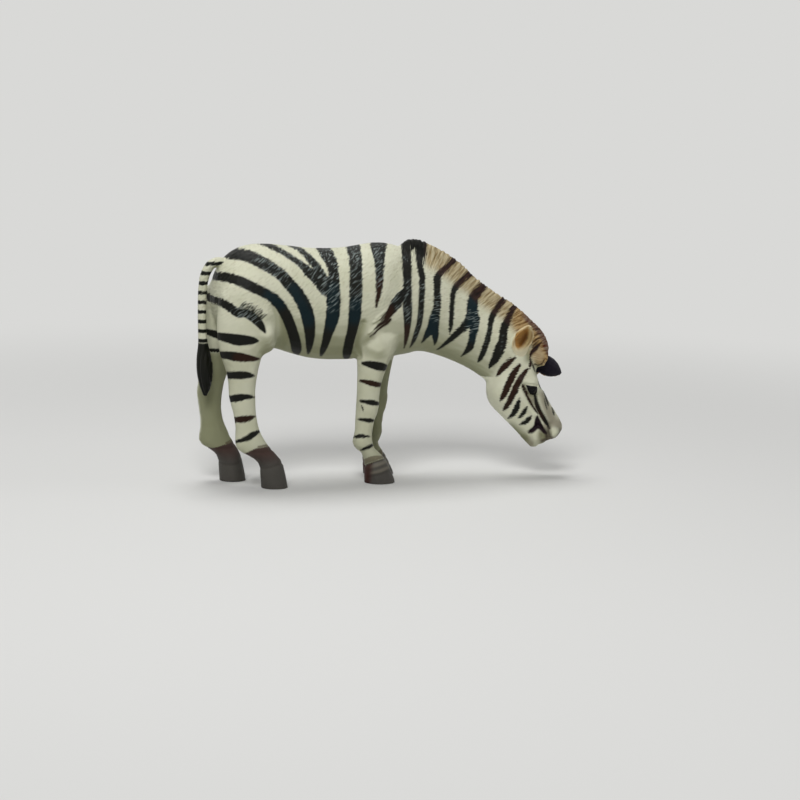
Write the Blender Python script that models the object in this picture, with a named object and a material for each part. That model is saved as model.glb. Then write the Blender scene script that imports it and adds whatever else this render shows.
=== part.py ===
"""A toy zebra, about 13 cm long, that stands grazing with its head low and turned a little to its right.

The figure is solid soft PVC, moulded in ten pieces that plug together and are glued: a torso, a neck with
the head, a strip of mane, two ears, four legs and a tail. All the pieces but the ears and the tail are cut
from one skin, so that each seam has the same outline on both of its sides.

Lengths are in metres. +X runs from the tail to the head, +Y to the animal's left, +Z up, and the soles
stand at Z = 0. The skin is drawn first in a straight frame, whose X = 0 is near the withers, with the head
looking straight on; a bend then turns everything ahead of the withers to the animal's right.
"""
import math

import bmesh
import bpy
from mathutils import Matrix, Vector

MM = 0.001

# Body
BODY_LENGTH = 66 * MM
BACK_HEIGHT = 84 * MM
BELLY_HEIGHT = 43 * MM
BARREL_WIDTH = 32 * MM

# Neck, head and mane
NECK_LENGTH = 48 * MM
NECK_WIDTH = 24 * MM
HEAD_LENGTH = 41.5 * MM
HEAD_DEPTH = 19.5 * MM
HEAD_WIDTH = 13 * MM
MANE_THICKNESS = 4.2 * MM
MANE_DEPTH = 9 * MM
MANE_ROUNDNESS_SHARE = 0.6
MANE_REACH = 11 * MM
HEAD_TILT = math.radians(12.5)
HEAD_TURN = math.radians(20)
TURN_START = 6 * MM
TURN_LENGTH = 38 * MM

# Legs
FORELEG_DEPTH = 8.1 * MM
FORELEG_WIDTH = 8.2 * MM
HIND_LEG_DEPTH = 9.2 * MM
HIND_LEG_WIDTH = 8 * MM
FORE_SPREAD = 7.8 * MM
HIND_SPREAD = 8.3 * MM
LEG_SWING = 10 * MM

# Ears
EAR_LENGTH = 11.6 * MM
EAR_WIDTH = 7.6 * MM
EAR_CUP = 3.3 * MM
EAR_WALL = 1.2 * MM
EAR_ROOT_WIDTH = 5 * MM
EAR_ROOT_THICKNESS = 4 * MM
EAR_PEG_RADIUS = 1 * MM
EAR_PEG_LENGTH = 2.4 * MM

# Tail
TAIL_LENGTH = 46 * MM
TAIL_RADIUS = 1.7 * MM
TAIL_PEG_RADIUS = 1.1 * MM
TAIL_PEG_LENGTH = 4 * MM

# Seams and plugs
GLUE_GAP = 0.3 * MM
NECK_SEAM = 1.2 * MM
NECK_PLUG_LENGTH = 7 * MM
NECK_PLUG_WIDTH = 11 * MM
NECK_PLUG_HEIGHT_SHARE = 0.488
NECK_PLUG_CENTRE_SHARE = 0.463
LEG_PLUG_LENGTH = 6 * MM
LEG_PLUG_DEPTH = 6 * MM
LEG_PLUG_WIDTH = 4.6 * MM
MANE_TONGUE_WIDTH = 1.8 * MM
MANE_TONGUE_DEPTH = 2 * MM

# Skin mesh
SKIN_VOXEL = 1 * MM
SMOOTHING_STEPS = 5
SOFTENING_SHARE = 0.5
FACES_KEPT_SHARE = 0.17
RING_POINTS = 24
STEPS_BETWEEN_ROWS = 3
CUT_REACH = 120 * MM

# Torso: along the body, top of back, belly line, half width
TORSO_SHARES = (
    (-1.000, 0.820, 1.460, 0.10),
    (-0.975, 0.895, 1.320, 0.26),
    (-0.920, 0.955, 1.200, 0.37),
    (-0.840, 0.990, 1.150, 0.44),
    (-0.740, 1.000, 1.130, 0.475),
    (-0.610, 0.991, 1.075, 0.485),
    (-0.460, 0.978, 1.012, 0.50),
    (-0.300, 0.978, 0.996, 0.50),
    (-0.180, 0.992, 1.000, 0.47),
    (-0.090, 0.998, 1.005, 0.44),
    (0.000, 0.985, 1.010, 0.40),
    (0.090, 0.955, 1.030, 0.35),
)

# Neck: crest along and height, throat along and height, half width
NECK_SHARES = (
    (-0.10, 0.972, -0.12, 0.530, 0.50),
    (0.08, 0.965, 0.07, 0.527, 0.49),
    (0.22, 0.943, 0.20, 0.535, 0.45),
    (0.345, 0.907, 0.325, 0.519, 0.40),
    (0.465, 0.857, 0.435, 0.496, 0.36),
    (0.575, 0.805, 0.540, 0.470, 0.325),
    (0.68, 0.760, 0.625, 0.442, 0.295),
    (0.79, 0.717, 0.690, 0.417, 0.275),
    (0.905, 0.676, 0.760, 0.393, 0.26),
    (1.00, 0.625, 0.820, 0.369, 0.25),
)

# Mane: crest along and height, from the withers to the forelock
MANE_CREST_SHARES = (
    (0.055, 0.988),
    (0.085, 1.006),
    (0.165, 1.010),
    (0.25, 0.991),
    (0.32, 0.973),
    (0.42, 0.941),
    (0.52, 0.900),
    (0.615, 0.848),
    (0.71, 0.808),
    (0.81, 0.769),
    (0.905, 0.737),
    (1.00, 0.692),
    (1.06, 0.660),
    (1.10, 0.640),
    (1.145, 0.608),
    (1.175, 0.568),
    (1.180, 0.525),
    (1.165, 0.488),
    (1.140, 0.466),
)

# Mane root: where the strip of mane meets the neck, from behind the withers to under the forelock
MANE_ROOT_SHARES = (
    (0.040, 0.984),
    (0.10, 0.945),
    (0.19, 0.905),
    (0.27, 0.873),
    (0.375, 0.834),
    (0.48, 0.792),
    (0.585, 0.750),
    (0.69, 0.713),
    (0.79, 0.676),
    (0.88, 0.637),
    (0.965, 0.598),
    (1.02, 0.553),
    (1.07, 0.505),
    (1.13, 0.455),
)

# Head: face line along and across, jaw line along and across, half width, in the head's own frame,
# whose first axis runs from the poll to the muzzle and whose second points ahead of the face
HEAD_SHARES = (
    (-0.04, -0.02, 0.31, -0.80, 0.42),
    (0.17, -0.02, 0.41, -0.95, 0.47),
    (0.35, -0.03, 0.50, -1.025, 0.50),
    (0.50, -0.02, 0.605, -1.01, 0.50),
    (0.60, 0.02, 0.705, -0.895, 0.45),
    (0.70, 0.08, 0.795, -0.77, 0.38),
    (0.79, 0.155, 0.89, -0.64, 0.33),
    (0.865, 0.21, 0.975, -0.54, 0.32),
    (0.925, 0.235, 1.035, -0.46, 0.325),
    (0.965, 0.21, 1.07, -0.41, 0.31),
    (1.00, 0.11, 1.06, -0.29, 0.23),
)
POLL_SHARE = (1.03, 0.655)

# Rounded forms on the head, mirrored: along, across, aside, then the three radii
HEAD_BUMP_SHARES = (
    (0.52, -0.62, 0.30, 0.155, 0.33, 0.24),
    (0.500, -0.19, 0.36, 0.105, 0.19, 0.145),
    (0.955, 0.05, 0.16, 0.055, 0.12, 0.17),
    (1.005, -0.22, 0.08, 0.060, 0.14, 0.20),
)

# Rounded forms on the body: along, height, aside, then the three radii
BODY_BUMP_SHARES = (
    (-0.06, 0.760, 0.215, 0.135, 0.165, 0.20),
    (-0.83, 0.765, 0.235, 0.165, 0.155, 0.245),
    (-0.77, 0.640, 0.255, 0.095, 0.085, 0.205),
)

# Girth of a foreleg: height, half depth, half width
FORELEG_GIRTH_SHARES = (
    (1.21, 0.98, 0.62),
    (1.07, 0.88, 0.63),
    (0.98, 0.70, 0.60),
    (0.84, 0.545, 0.54),
    (0.73, 0.50, 0.505),
    (0.61, 0.485, 0.48),
    (0.50, 0.42, 0.405),
    (0.405, 0.40, 0.39),
    (0.353, 0.44, 0.43),
    (0.307, 0.44, 0.43),
    (0.272, 0.41, 0.405),
    (0.237, 0.42, 0.415),
    (0.205, 0.47, 0.465),
    (0.174, 0.51, 0.50),
    (0.100, 0.59, 0.565),
    (0.047, 0.655, 0.60),
    (0.000, 0.69, 0.62),
    (-0.070, 0.72, 0.64),
)

# Where each foreleg's middle stands, row by row with the girths, as shares of the leg swing
RIGHT_FORELEG_SHARES = (0, -0.05, -0.12, -0.225, -0.27, -0.31, -0.385, -0.425, -0.45, -0.40,
                        -0.255, -0.125, -0.015, 0.045, 0.125, 0.18, 0.215, 0.25)
LEFT_FORELEG_SHARES = (0, 0.25, 0.33, 0.32, 0.29, 0.25, 0.21, 0.18, 0.16, 0.10,
                       0.04, 0.07, 0.14, 0.21, 0.31, 0.37, 0.42, 0.45)

# Girth of a hind leg: height, half depth, half width
HIND_LEG_GIRTH_SHARES = (
    (1.58, 1.14, 0.81),
    (1.35, 1.17, 0.825),
    (1.16, 0.955, 0.74),
    (1.065, 0.78, 0.65),
    (0.95, 0.61, 0.575),
    (0.84, 0.52, 0.515),
    (0.73, 0.50, 0.49),
    (0.615, 0.44, 0.45),
    (0.50, 0.45, 0.425),
    (0.43, 0.53, 0.44),
    (0.363, 0.62, 0.465),
    (0.316, 0.66, 0.465),
    (0.279, 0.58, 0.465),
    (0.244, 0.51, 0.47),
    (0.198, 0.465, 0.49),
    (0.116, 0.485, 0.53),
    (0.000, 0.52, 0.565),
    (-0.070, 0.54, 0.575),
)
RIGHT_HIND_LEG_SHARES = (0, -0.10, -0.23, -0.30, -0.26, -0.26, -0.25, -0.16, -0.07, -0.01,
                         0.08, 0.22, 0.43, 0.63, 0.80, 0.87, 0.95, 0.98)
LEFT_HIND_LEG_SHARES = (0, -0.15, -0.35, -0.48, -0.63, -0.77, -0.85, -0.83, -0.76, -0.70,
                        -0.66, -0.57, -0.40, -0.24, -0.11, -0.05, 0.02, 0.04)

# Where the forelegs and the hind legs are cut out of the skin, as shares of the body's length, and the
# heights of their seams, as shares of the belly's
FORELEG_REGION_SHARES = (-0.455, 0.167)
HIND_LEG_REGION_SHARES = (-1.364, -0.652)
FORELEG_SEAM_SHARE = 0.9535
HIND_LEG_SEAM_SHARE = 1.065

# Room for the hooves: how far ahead of the sole's middle, and up to where
TOE_REACH_SHARE = 0.65
FOOT_TOP_SHARE = 0.5

# Legs: name, side, where the leg hangs as a share of the body's length, its row of places, half the spread,
# the share of its seam, the shares of its region, and the row whose place carries the plug
LEG_SHARES = (
    ("front_right_leg", -1, -0.1364, RIGHT_FORELEG_SHARES, FORE_SPREAD, FORELEG_SEAM_SHARE,
     FORELEG_REGION_SHARES, 2),
    ("front_left_leg", 1, -0.0909, LEFT_FORELEG_SHARES, FORE_SPREAD, FORELEG_SEAM_SHARE,
     FORELEG_REGION_SHARES, 2),
    ("hind_right_leg", -1, -0.8333, RIGHT_HIND_LEG_SHARES, HIND_SPREAD, HIND_LEG_SEAM_SHARE,
     HIND_LEG_REGION_SHARES, 3),
    ("hind_left_leg", 1, -0.8485, LEFT_HIND_LEG_SHARES, HIND_SPREAD, HIND_LEG_SEAM_SHARE,
     HIND_LEG_REGION_SHARES, 3),
)

# Tail: behind the body as shares of the tail radius, down as shares of its length, and its thickness
TAIL_SHARES = (
    (0.0, 0, 0.95),
    (1.4, 0, 1.00),
    (2.8, 0.03, 1.00),
    (3.8, 0.10, 0.97),
    (4.2, 0.20, 0.93),
    (4.3, 0.35, 0.90),
    (4.2, 0.52, 0.90),
    (4.0, 0.62, 1.05),
    (3.8, 0.72, 1.45),
    (3.6, 0.82, 1.60),
    (3.5, 0.92, 1.15),
    (3.5, 1.00, 0.35),
)
TAIL_ROOT_SHARE = (-0.945, 0.925)
TAIL_SEATED_RINGS = 10

# Ear: along it, half width, cup depth outside, hollow inside
EAR_SHARES = (
    (0.12, 0.80, 0.72, -0.45),
    (0.25, 0.93, 0.88, 0.10),
    (0.42, 1.00, 1.00, 0.60),
    (0.60, 0.94, 0.95, 0.62),
    (0.76, 0.76, 0.78, 0.48),
    (0.89, 0.48, 0.55, 0.30),
    (0.97, 0.24, 0.36, 0.15),
    (1.00, 0.10, 0.24, 0.06),
)
EAR_ARC_POINTS = 9
EAR_SEATED_ROWS = 4

# Ear places on the head as shares of its frame, then the way each ear points and the way its back looks,
# both as along, across and aside
RIGHT_EAR_SHARE = (0.21, -0.29, 0.30)
RIGHT_EAR_POINTS = (-0.74, 0.44, 0.52)
RIGHT_EAR_BACK = (-0.30, -0.35, -0.95)
LEFT_EAR_SHARE = (0.33, -0.05, 0.36)
LEFT_EAR_POINTS = (0.66, 0.76, 0.22)
LEFT_EAR_BACK = (-0.25, 0.40, -0.95)


def clear_scene():
    for obj in list(bpy.data.objects):
        bpy.data.objects.remove(obj, do_unlink=True)


def plastic(name, colour, roughness):
    """Painted PVC of one colour, given as linear red, green and blue."""
    made = bpy.data.materials.new(name)
    made.use_nodes = True
    shader = made.node_tree.nodes["Principled BSDF"]
    shader.inputs["Base Color"].default_value = (*colour, 1)
    shader.inputs["Roughness"].default_value = roughness
    shader.inputs["Metallic"].default_value = 0
    return made


def new_object(name, mesh):
    obj = bpy.data.objects.new(name, mesh)
    bpy.context.scene.collection.objects.link(obj)
    return obj


def mesh_from(name, points, faces):
    mesh = bpy.data.meshes.new(name)
    mesh.from_pydata([tuple(p) for p in points], [], faces)
    mesh.update()
    return mesh


def as_cutter(obj):
    obj.hide_render = True
    obj.display_type = "WIRE"
    return obj


def curve_at(t, a, b, c, d):
    """The number between b and c on a smooth curve through four numbers."""
    bend = (2 * a - 5 * b + 4 * c - d) * t ** 2 + (3 * b - a - 3 * c + d) * t ** 3
    return b + ((c - a) * t + bend) / 2


def through_rows(rows):
    """Rows of numbers joined by a smooth curve that passes through each of them."""
    smooth = []
    last = len(rows) - 1
    for i in range(last):
        four = rows[max(i - 1, 0)], rows[i], rows[i + 1], rows[min(i + 2, last)]
        for k in range(STEPS_BETWEEN_ROWS):
            smooth.append(tuple(curve_at(k / STEPS_BETWEEN_ROWS, *values) for values in zip(*four)))
    smooth.append(tuple(rows[last]))
    return smooth


def skin_rings(rings):
    """Points and faces of a closed tube over rings of equal counts."""
    points = [p for ring in rings for p in ring]
    count = len(rings[0])
    faces = []
    for r in range(len(rings) - 1):
        for k in range(count):
            after = (k + 1) % count
            faces.append((r * count + k, r * count + after, (r + 1) * count + after, (r + 1) * count + k))
    faces.append(tuple(reversed(range(count))))
    faces.append(tuple((len(rings) - 1) * count + k for k in range(count)))
    return points, faces


def closed_mesh(name, rings):
    """A tube over the rings with its faces turned outwards."""
    mesh = mesh_from(name, *skin_rings(rings))
    work = bmesh.new()
    work.from_mesh(mesh)
    bmesh.ops.recalc_face_normals(work, faces=work.faces)
    bmesh.ops.triangulate(work, faces=work.faces)
    work.to_mesh(mesh)
    work.free()
    return mesh


def side_loft(name, rows, middle_y=0, roundness=1):
    """A form drawn in side view: each row has the two ends of a cross-section and its half width.

    A roundness of 1 gives oval cross-sections, and less gives ones with fuller corners.
    """
    rings = []
    for x_a, z_a, x_b, z_b, half_width in through_rows(rows):
        ring = []
        for k in range(RING_POINTS):
            angle = 2 * math.pi * k / RING_POINTS
            up, aside = (math.copysign(abs(v) ** roundness, v) for v in (math.cos(angle), math.sin(angle)))
            share = (1 + up) / 2
            x = x_b + (x_a - x_b) * share
            z = z_b + (z_a - z_b) * share
            ring.append((x, middle_y + half_width * aside, z))
        rings.append(ring)
    return closed_mesh(name, rings)


def ellipsoid(name, middle, radii, axes=None):
    """A round form, whose radii lie along X, Y and Z or along the given axes."""
    work = bmesh.new()
    bmesh.ops.create_uvsphere(work, u_segments=RING_POINTS, v_segments=RING_POINTS // 2, radius=1)
    stretch = Matrix.Diagonal((*radii, 1))
    turn = Matrix(axes).transposed().to_4x4() if axes else Matrix.Identity(4)
    bmesh.ops.transform(work, matrix=Matrix.Translation(middle) @ turn @ stretch, verts=work.verts)
    mesh = bpy.data.meshes.new(name)
    work.to_mesh(mesh)
    work.free()
    return mesh


def block(name, low, high):
    """A plain box between two corners."""
    work = bmesh.new()
    bmesh.ops.create_cube(work, size=1)
    for vert in work.verts:
        vert.co = Vector(high[k] if vert.co[k] > 0 else low[k] for k in range(3))
    mesh = bpy.data.meshes.new(name)
    work.to_mesh(mesh)
    work.free()
    return as_cutter(new_object(name, mesh))


def head_axes():
    """The head's own axes in the straight frame: poll to muzzle, and ahead of the face."""
    along = Vector((math.sin(HEAD_TILT), 0, -math.cos(HEAD_TILT)))
    across = Vector((math.cos(HEAD_TILT), 0, math.sin(HEAD_TILT)))
    return along, across


def poll():
    return Vector((POLL_SHARE[0] * NECK_LENGTH, 0, POLL_SHARE[1] * BACK_HEIGHT))


def on_head(along_share, across_share, aside=0):
    along, across = head_axes()
    place = poll() + along * along_share * HEAD_LENGTH + across * across_share * HEAD_DEPTH
    return place + Vector((0, aside, 0))


def turned(point):
    """A point of the straight frame, moved as the neck bends to the animal's right."""
    start, reach = TURN_START, TURN_LENGTH
    run = point.x - start
    if run <= 0:
        return point.copy()
    radius = reach / HEAD_TURN
    angle = HEAD_TURN * min(run / reach, 1)
    beyond = max(run - reach, 0)
    middle = Vector((
        start + radius * math.sin(angle) + beyond * math.cos(angle),
        -radius * (1 - math.cos(angle)) - beyond * math.sin(angle),
        point.z,
    ))
    return middle + Vector((math.sin(angle), math.cos(angle), 0)) * point.y


def turned_way(way, place):
    """A direction at a place of the straight frame, turned with the neck there."""
    angle = HEAD_TURN * min(max(place.x - TURN_START, 0) / TURN_LENGTH, 1)
    return Matrix.Rotation(-angle, 3, "Z") @ way


def turn_mesh(mesh):
    work = bmesh.new()
    work.from_mesh(mesh)
    bmesh.ops.triangulate(work, faces=work.faces)
    for vert in work.verts:
        vert.co = turned(vert.co)
    work.to_mesh(mesh)
    work.free()


# Forms under the skin

def torso_form():
    rows = [
        (x * BODY_LENGTH, top * BACK_HEIGHT, x * BODY_LENGTH, belly * BELLY_HEIGHT, wide * BARREL_WIDTH)
        for x, top, belly, wide in TORSO_SHARES
    ]
    return side_loft("torso_form", rows)


def neck_form():
    rows = [
        (a * NECK_LENGTH, b * BACK_HEIGHT, c * NECK_LENGTH, d * BACK_HEIGHT, wide * NECK_WIDTH)
        for a, b, c, d, wide in NECK_SHARES
    ]
    return side_loft("neck_form", rows)


def head_form():
    rows = []
    for face_along, face_across, jaw_along, jaw_across, wide in HEAD_SHARES:
        face, jaw = on_head(face_along, face_across), on_head(jaw_along, jaw_across)
        rows.append((face.x, face.z, jaw.x, jaw.z, wide * HEAD_WIDTH))
    return side_loft("head_form", rows)


def mane_form():
    """A fin that stands on the neck: its foot lies one mane depth in from the crest."""
    crest = [Vector((x * NECK_LENGTH, 0, z * BACK_HEIGHT)) for x, z in MANE_CREST_SHARES]
    rows = []
    for i, tip in enumerate(crest):
        run = (crest[min(i + 1, len(crest) - 1)] - crest[max(i - 1, 0)]).normalized()
        foot = tip + Vector((run.z, 0, -run.x)) * MANE_DEPTH
        rows.append((tip.x, tip.z, foot.x, foot.z, MANE_THICKNESS / 2))
    return side_loft("mane_form", rows, roundness=MANE_ROUNDNESS_SHARE)


def leg_form(name, girths, places, root_x, depth, width, side_y):
    """One leg, whose middle wanders to the front and rear as it goes down."""
    rows = []
    for (height, half_depth, half_width), place in zip(girths, places):
        x = root_x + place * LEG_SWING
        z = height * BELLY_HEIGHT
        rows.append((x + half_depth * depth, z, x - half_depth * depth, z, half_width * width))
    return side_loft(name, rows, side_y)


def bumps():
    """The rounded forms of the shoulders, the haunches, the cheeks, the brows, the nostrils and the lips."""
    along, across = head_axes()
    aside = Vector((0, 1, 0))
    forms = []
    for side in (-1, 1):
        for x, z, y, r_x, r_z, r_y in BODY_BUMP_SHARES:
            middle = (x * BODY_LENGTH, side * y * BARREL_WIDTH, z * BACK_HEIGHT)
            radii = (r_x * BODY_LENGTH, r_y * BARREL_WIDTH, r_z * BACK_HEIGHT)
            forms.append(ellipsoid("body_bump", middle, radii))
        for a, b, y, r_a, r_b, r_y in HEAD_BUMP_SHARES:
            middle = on_head(a, b, side * y * HEAD_WIDTH)
            radii = (r_a * HEAD_LENGTH, r_b * HEAD_DEPTH, r_y * HEAD_WIDTH)
            forms.append(ellipsoid("head_bump", middle, radii, (along, across, aside)))
    return forms


def leg_forms():
    fore = (FORELEG_GIRTH_SHARES, FORELEG_DEPTH, FORELEG_WIDTH)
    hind = (HIND_LEG_GIRTH_SHARES, HIND_LEG_DEPTH, HIND_LEG_WIDTH)
    forms = []
    for leg, (girths, depth, width) in zip(LEG_SHARES, (fore, fore, hind, hind)):
        name, side, root_share, places, spread = leg[:5]
        forms.append(leg_form(name, girths, places, root_share * BODY_LENGTH, depth, width, side * spread))
    return forms


def make_skin():
    """All the forms run together into one smooth skin, which is then bent at the neck."""
    work = bmesh.new()
    for form in [torso_form(), neck_form(), head_form(), mane_form()] + leg_forms() + bumps():
        work.from_mesh(form)
    joined = bpy.data.meshes.new("skin")
    work.to_mesh(joined)
    work.free()
    guide = as_cutter(new_object("skin_guide", joined))
    remesh = guide.modifiers.new("run_together", "REMESH")
    remesh.mode = "VOXEL"
    remesh.voxel_size = SKIN_VOXEL
    smooth = guide.modifiers.new("soften", "SMOOTH")
    smooth.factor = SOFTENING_SHARE
    smooth.iterations = SMOOTHING_STEPS
    thin = guide.modifiers.new("thin_out", "DECIMATE")
    thin.ratio = FACES_KEPT_SHARE
    skin = bpy.data.meshes.new_from_object(guide.evaluated_get(bpy.context.evaluated_depsgraph_get()))
    bpy.data.objects.remove(guide, do_unlink=True)
    turn_mesh(skin)
    return skin


# Seams

def neck_region(gap=0):
    """Everything ahead of the neck seam and above the legs."""
    return block("neck_region", (NECK_SEAM - gap, -CUT_REACH, -CUT_REACH), (CUT_REACH, CUT_REACH, CUT_REACH))


def leg_region(name, side, reach_shares, toe_x, seam_z, gap=0):
    """One leg below its seam, from the ground up, longer low down where its hoof reaches ahead.

    The gap opens the seam upwards.
    """
    rear_x, front_x = (share * BODY_LENGTH for share in reach_shares)
    toe_x = max(toe_x, front_x + GLUE_GAP)
    foot_z = FOOT_TOP_SHARE * BELLY_HEIGHT
    floor_z = -CUT_REACH if gap else 0
    outline = (
        (rear_x, floor_z), (toe_x, floor_z), (toe_x, foot_z), (front_x, foot_z),
        (front_x, seam_z + gap), (rear_x, seam_z + gap),
    )
    rings = [[(x, y, z) for x, z in outline] for y in (side * GLUE_GAP / 2, side * CUT_REACH)]
    return as_cutter(new_object(name + "_region", closed_mesh(name + "_region", rings)))


def mane_region(gap=0):
    """A plate whose lower edge is the mane's root line, bent with the neck; the gap lowers that edge."""
    roots = [Vector((x * NECK_LENGTH, 0, z * BACK_HEIGHT)) for x, z in through_rows(MANE_ROOT_SHARES)]
    roots = extended(roots, MANE_DEPTH)
    return plate("mane_region", offset_line(roots, gap), offset_line(roots, -MANE_REACH), NECK_WIDTH)


def mane_tongue(gap=0):
    """The rib under the mane, or with a gap the groove that takes it."""
    roots = [Vector((x * NECK_LENGTH, 0, z * BACK_HEIGHT)) for x, z in through_rows(MANE_ROOT_SHARES)]
    inset = 2 * STEPS_BETWEEN_ROWS
    kept = [a.lerp(b, 0.5) for a, b in zip(roots, roots[1:])][inset:-inset]
    if gap:
        kept = extended(kept, GLUE_GAP)
    depth = MANE_TONGUE_DEPTH + gap
    return plate("mane_tongue", offset_line(kept, depth), offset_line(kept, -MANE_TONGUE_DEPTH),
                 MANE_TONGUE_WIDTH + 2 * gap)


def extended(line, reach):
    """The line run on straight past both of its ends."""
    first = line[0] + (line[0] - line[1]).normalized() * reach
    last = line[-1] + (line[-1] - line[-2]).normalized() * reach
    return [first] + line + [last]


def offset_line(line, distance):
    """The line moved square to itself, downwards and to the rear where the distance is positive."""
    moved = []
    for i, point in enumerate(line):
        run = (line[min(i + 1, len(line) - 1)] - line[max(i - 1, 0)]).normalized()
        moved.append(point + Vector((run.z, 0, -run.x)) * distance)
    return moved


def plate(name, low_line, high_line, width):
    """A plate of even width between two lines in the middle plane, bent with the neck."""
    rings = []
    for low, high in zip(low_line, high_line):
        corners = (Vector((p.x, y, p.z)) for p, y in
                   ((low, -width / 2), (low, width / 2), (high, width / 2), (high, -width / 2)))
        rings.append([turned(c) for c in corners])
    return as_cutter(new_object(name, closed_mesh(name, rings)))


# Plugs

def neck_plug(gap=0):
    """An oval plug that runs back from the neck into the torso."""
    ends = (NECK_SEAM - NECK_PLUG_LENGTH - gap, NECK_SEAM + NECK_PLUG_LENGTH)
    chest_depth = BACK_HEIGHT - BELLY_HEIGHT
    outline = circle(NECK_PLUG_HEIGHT_SHARE * chest_depth / 2 + gap, NECK_PLUG_WIDTH / 2 + gap)
    middle_z = BELLY_HEIGHT + NECK_PLUG_CENTRE_SHARE * chest_depth
    rings = [[(x, y, middle_z + z) for z, y in outline] for x in ends]
    return as_cutter(new_object("neck_plug", closed_mesh("neck_plug", rings)))


def leg_plug(name, middle_x, middle_y, seam_z, gap=0):
    """An oval plug that stands on a leg and enters the torso."""
    ends = (seam_z - LEG_PLUG_LENGTH / 2, seam_z + LEG_PLUG_LENGTH + gap)
    outline = circle(LEG_PLUG_DEPTH / 2 + gap, LEG_PLUG_WIDTH / 2 + gap)
    rings = [[(middle_x + x, middle_y + y, z) for x, y in outline] for z in ends]
    return as_cutter(new_object(name + "_plug", closed_mesh(name + "_plug", rings)))


def frame_at(place, points_to, back):
    """A place and three axes: aside, back and along, for a form that points one way."""
    w = Vector(points_to).normalized()
    v = Vector(back)
    v = (v - w * v.dot(w)).normalized()
    u = v.cross(w)
    frame = Matrix((u, v, w)).transposed().to_4x4()
    frame.translation = place
    return frame


def circle(half_a, half_b):
    """Points round an oval with the given half sizes."""
    angles = [2 * math.pi * k / RING_POINTS for k in range(RING_POINTS)]
    return [(half_a * math.cos(angle), half_b * math.sin(angle)) for angle in angles]


def round_pin(name, frame, radius, start, end):
    """A cylinder along a frame's third axis."""
    rings = [[frame @ Vector((u, v, w)) for u, v in circle(radius, radius)] for w in (start, end)]
    return as_cutter(new_object(name, closed_mesh(name, rings)))


def boolean(obj, cutter, operation):
    step = obj.modifiers.new(cutter.name, "BOOLEAN")
    step.operation = operation
    step.object = cutter


# Pieces

def leg_cutters(name, side, root_share, places, spread, seam_share, reach_shares, plug_row, gap=0):
    """The region of one leg and its plug, both opened by the gap."""
    seam_z = seam_share * BELLY_HEIGHT
    plug_x = root_share * BODY_LENGTH + places[plug_row] * LEG_SWING
    toe_x = root_share * BODY_LENGTH + places[-1] * LEG_SWING + TOE_REACH_SHARE * HIND_LEG_DEPTH
    region = leg_region(name, side, reach_shares, toe_x, seam_z, gap)
    plug = leg_plug(name, plug_x, side * spread, seam_z, gap)
    return region, plug


def make_legs(skin, paint):
    for leg in LEG_SHARES:
        piece = new_object(leg[0], skin.copy())
        region, plug = leg_cutters(*leg)
        boolean(piece, region, "INTERSECT")
        boolean(piece, plug, "UNION")
        piece.data.materials.append(paint)


def make_torso(skin, paint, tail_frame):
    torso = new_object("torso", skin.copy())
    boolean(torso, neck_region(GLUE_GAP), "DIFFERENCE")
    boolean(torso, neck_plug(GLUE_GAP), "DIFFERENCE")
    for leg in LEG_SHARES:
        region, plug = leg_cutters(*leg, gap=GLUE_GAP)
        boolean(torso, region, "DIFFERENCE")
        boolean(torso, plug, "DIFFERENCE")
    for cutter in tail_seat(tail_frame):
        boolean(torso, cutter, "DIFFERENCE")
    torso.data.materials.append(paint)


def make_neck_and_head(skin, paint, ear_frames):
    piece = new_object("neck_and_head", skin.copy())
    boolean(piece, neck_region(), "INTERSECT")
    for leg in LEG_SHARES[:2]:
        boolean(piece, leg_cutters(*leg, gap=GLUE_GAP)[0], "DIFFERENCE")
    boolean(piece, mane_region(GLUE_GAP), "DIFFERENCE")
    boolean(piece, mane_tongue(GLUE_GAP), "DIFFERENCE")
    boolean(piece, neck_plug(), "UNION")
    for frame in ear_frames:
        for cutter in ear_seat(frame):
            boolean(piece, cutter, "DIFFERENCE")
    piece.data.materials.append(paint)


def make_mane(skin, paint, ear_frames):
    mane = new_object("mane", skin.copy())
    boolean(mane, neck_region(), "INTERSECT")
    boolean(mane, mane_region(), "INTERSECT")
    boolean(mane, mane_tongue(), "UNION")
    for frame in ear_frames:
        boolean(mane, ear_seat(frame)[0], "DIFFERENCE")
    mane.data.materials.append(paint)


def ear_frame(share, points_to, back, side):
    """Where an ear stands on the turned head: its third axis runs along the ear."""
    along, across = head_axes()
    place = on_head(share[0], share[1], side * share[2] * HEAD_WIDTH)
    ways = []
    for a, b, c in (points_to, back):
        ways.append(turned_way(along * a + across * b + Vector((0, side * c, 0)), place))
    return frame_at(turned(place), *ways)


def ear_ring(frame, run, half_width, out, hollow):
    """One cross-section of an ear: its round back, then its hollow front."""
    ring = []
    for k in range(EAR_ARC_POINTS):
        angle = math.pi * k / (EAR_ARC_POINTS - 1)
        ring.append((half_width * math.cos(angle), out * math.sin(angle)))
    for k in range(1, EAR_ARC_POINTS - 1):
        angle = math.pi * (1 - k / (EAR_ARC_POINTS - 1))
        rim = EAR_WALL * max(hollow, 0) / EAR_CUP
        ring.append(((half_width - rim) * math.cos(angle), hollow * math.sin(angle)))
    return [frame @ Vector((u, v, run)) for u, v in ring]


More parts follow.
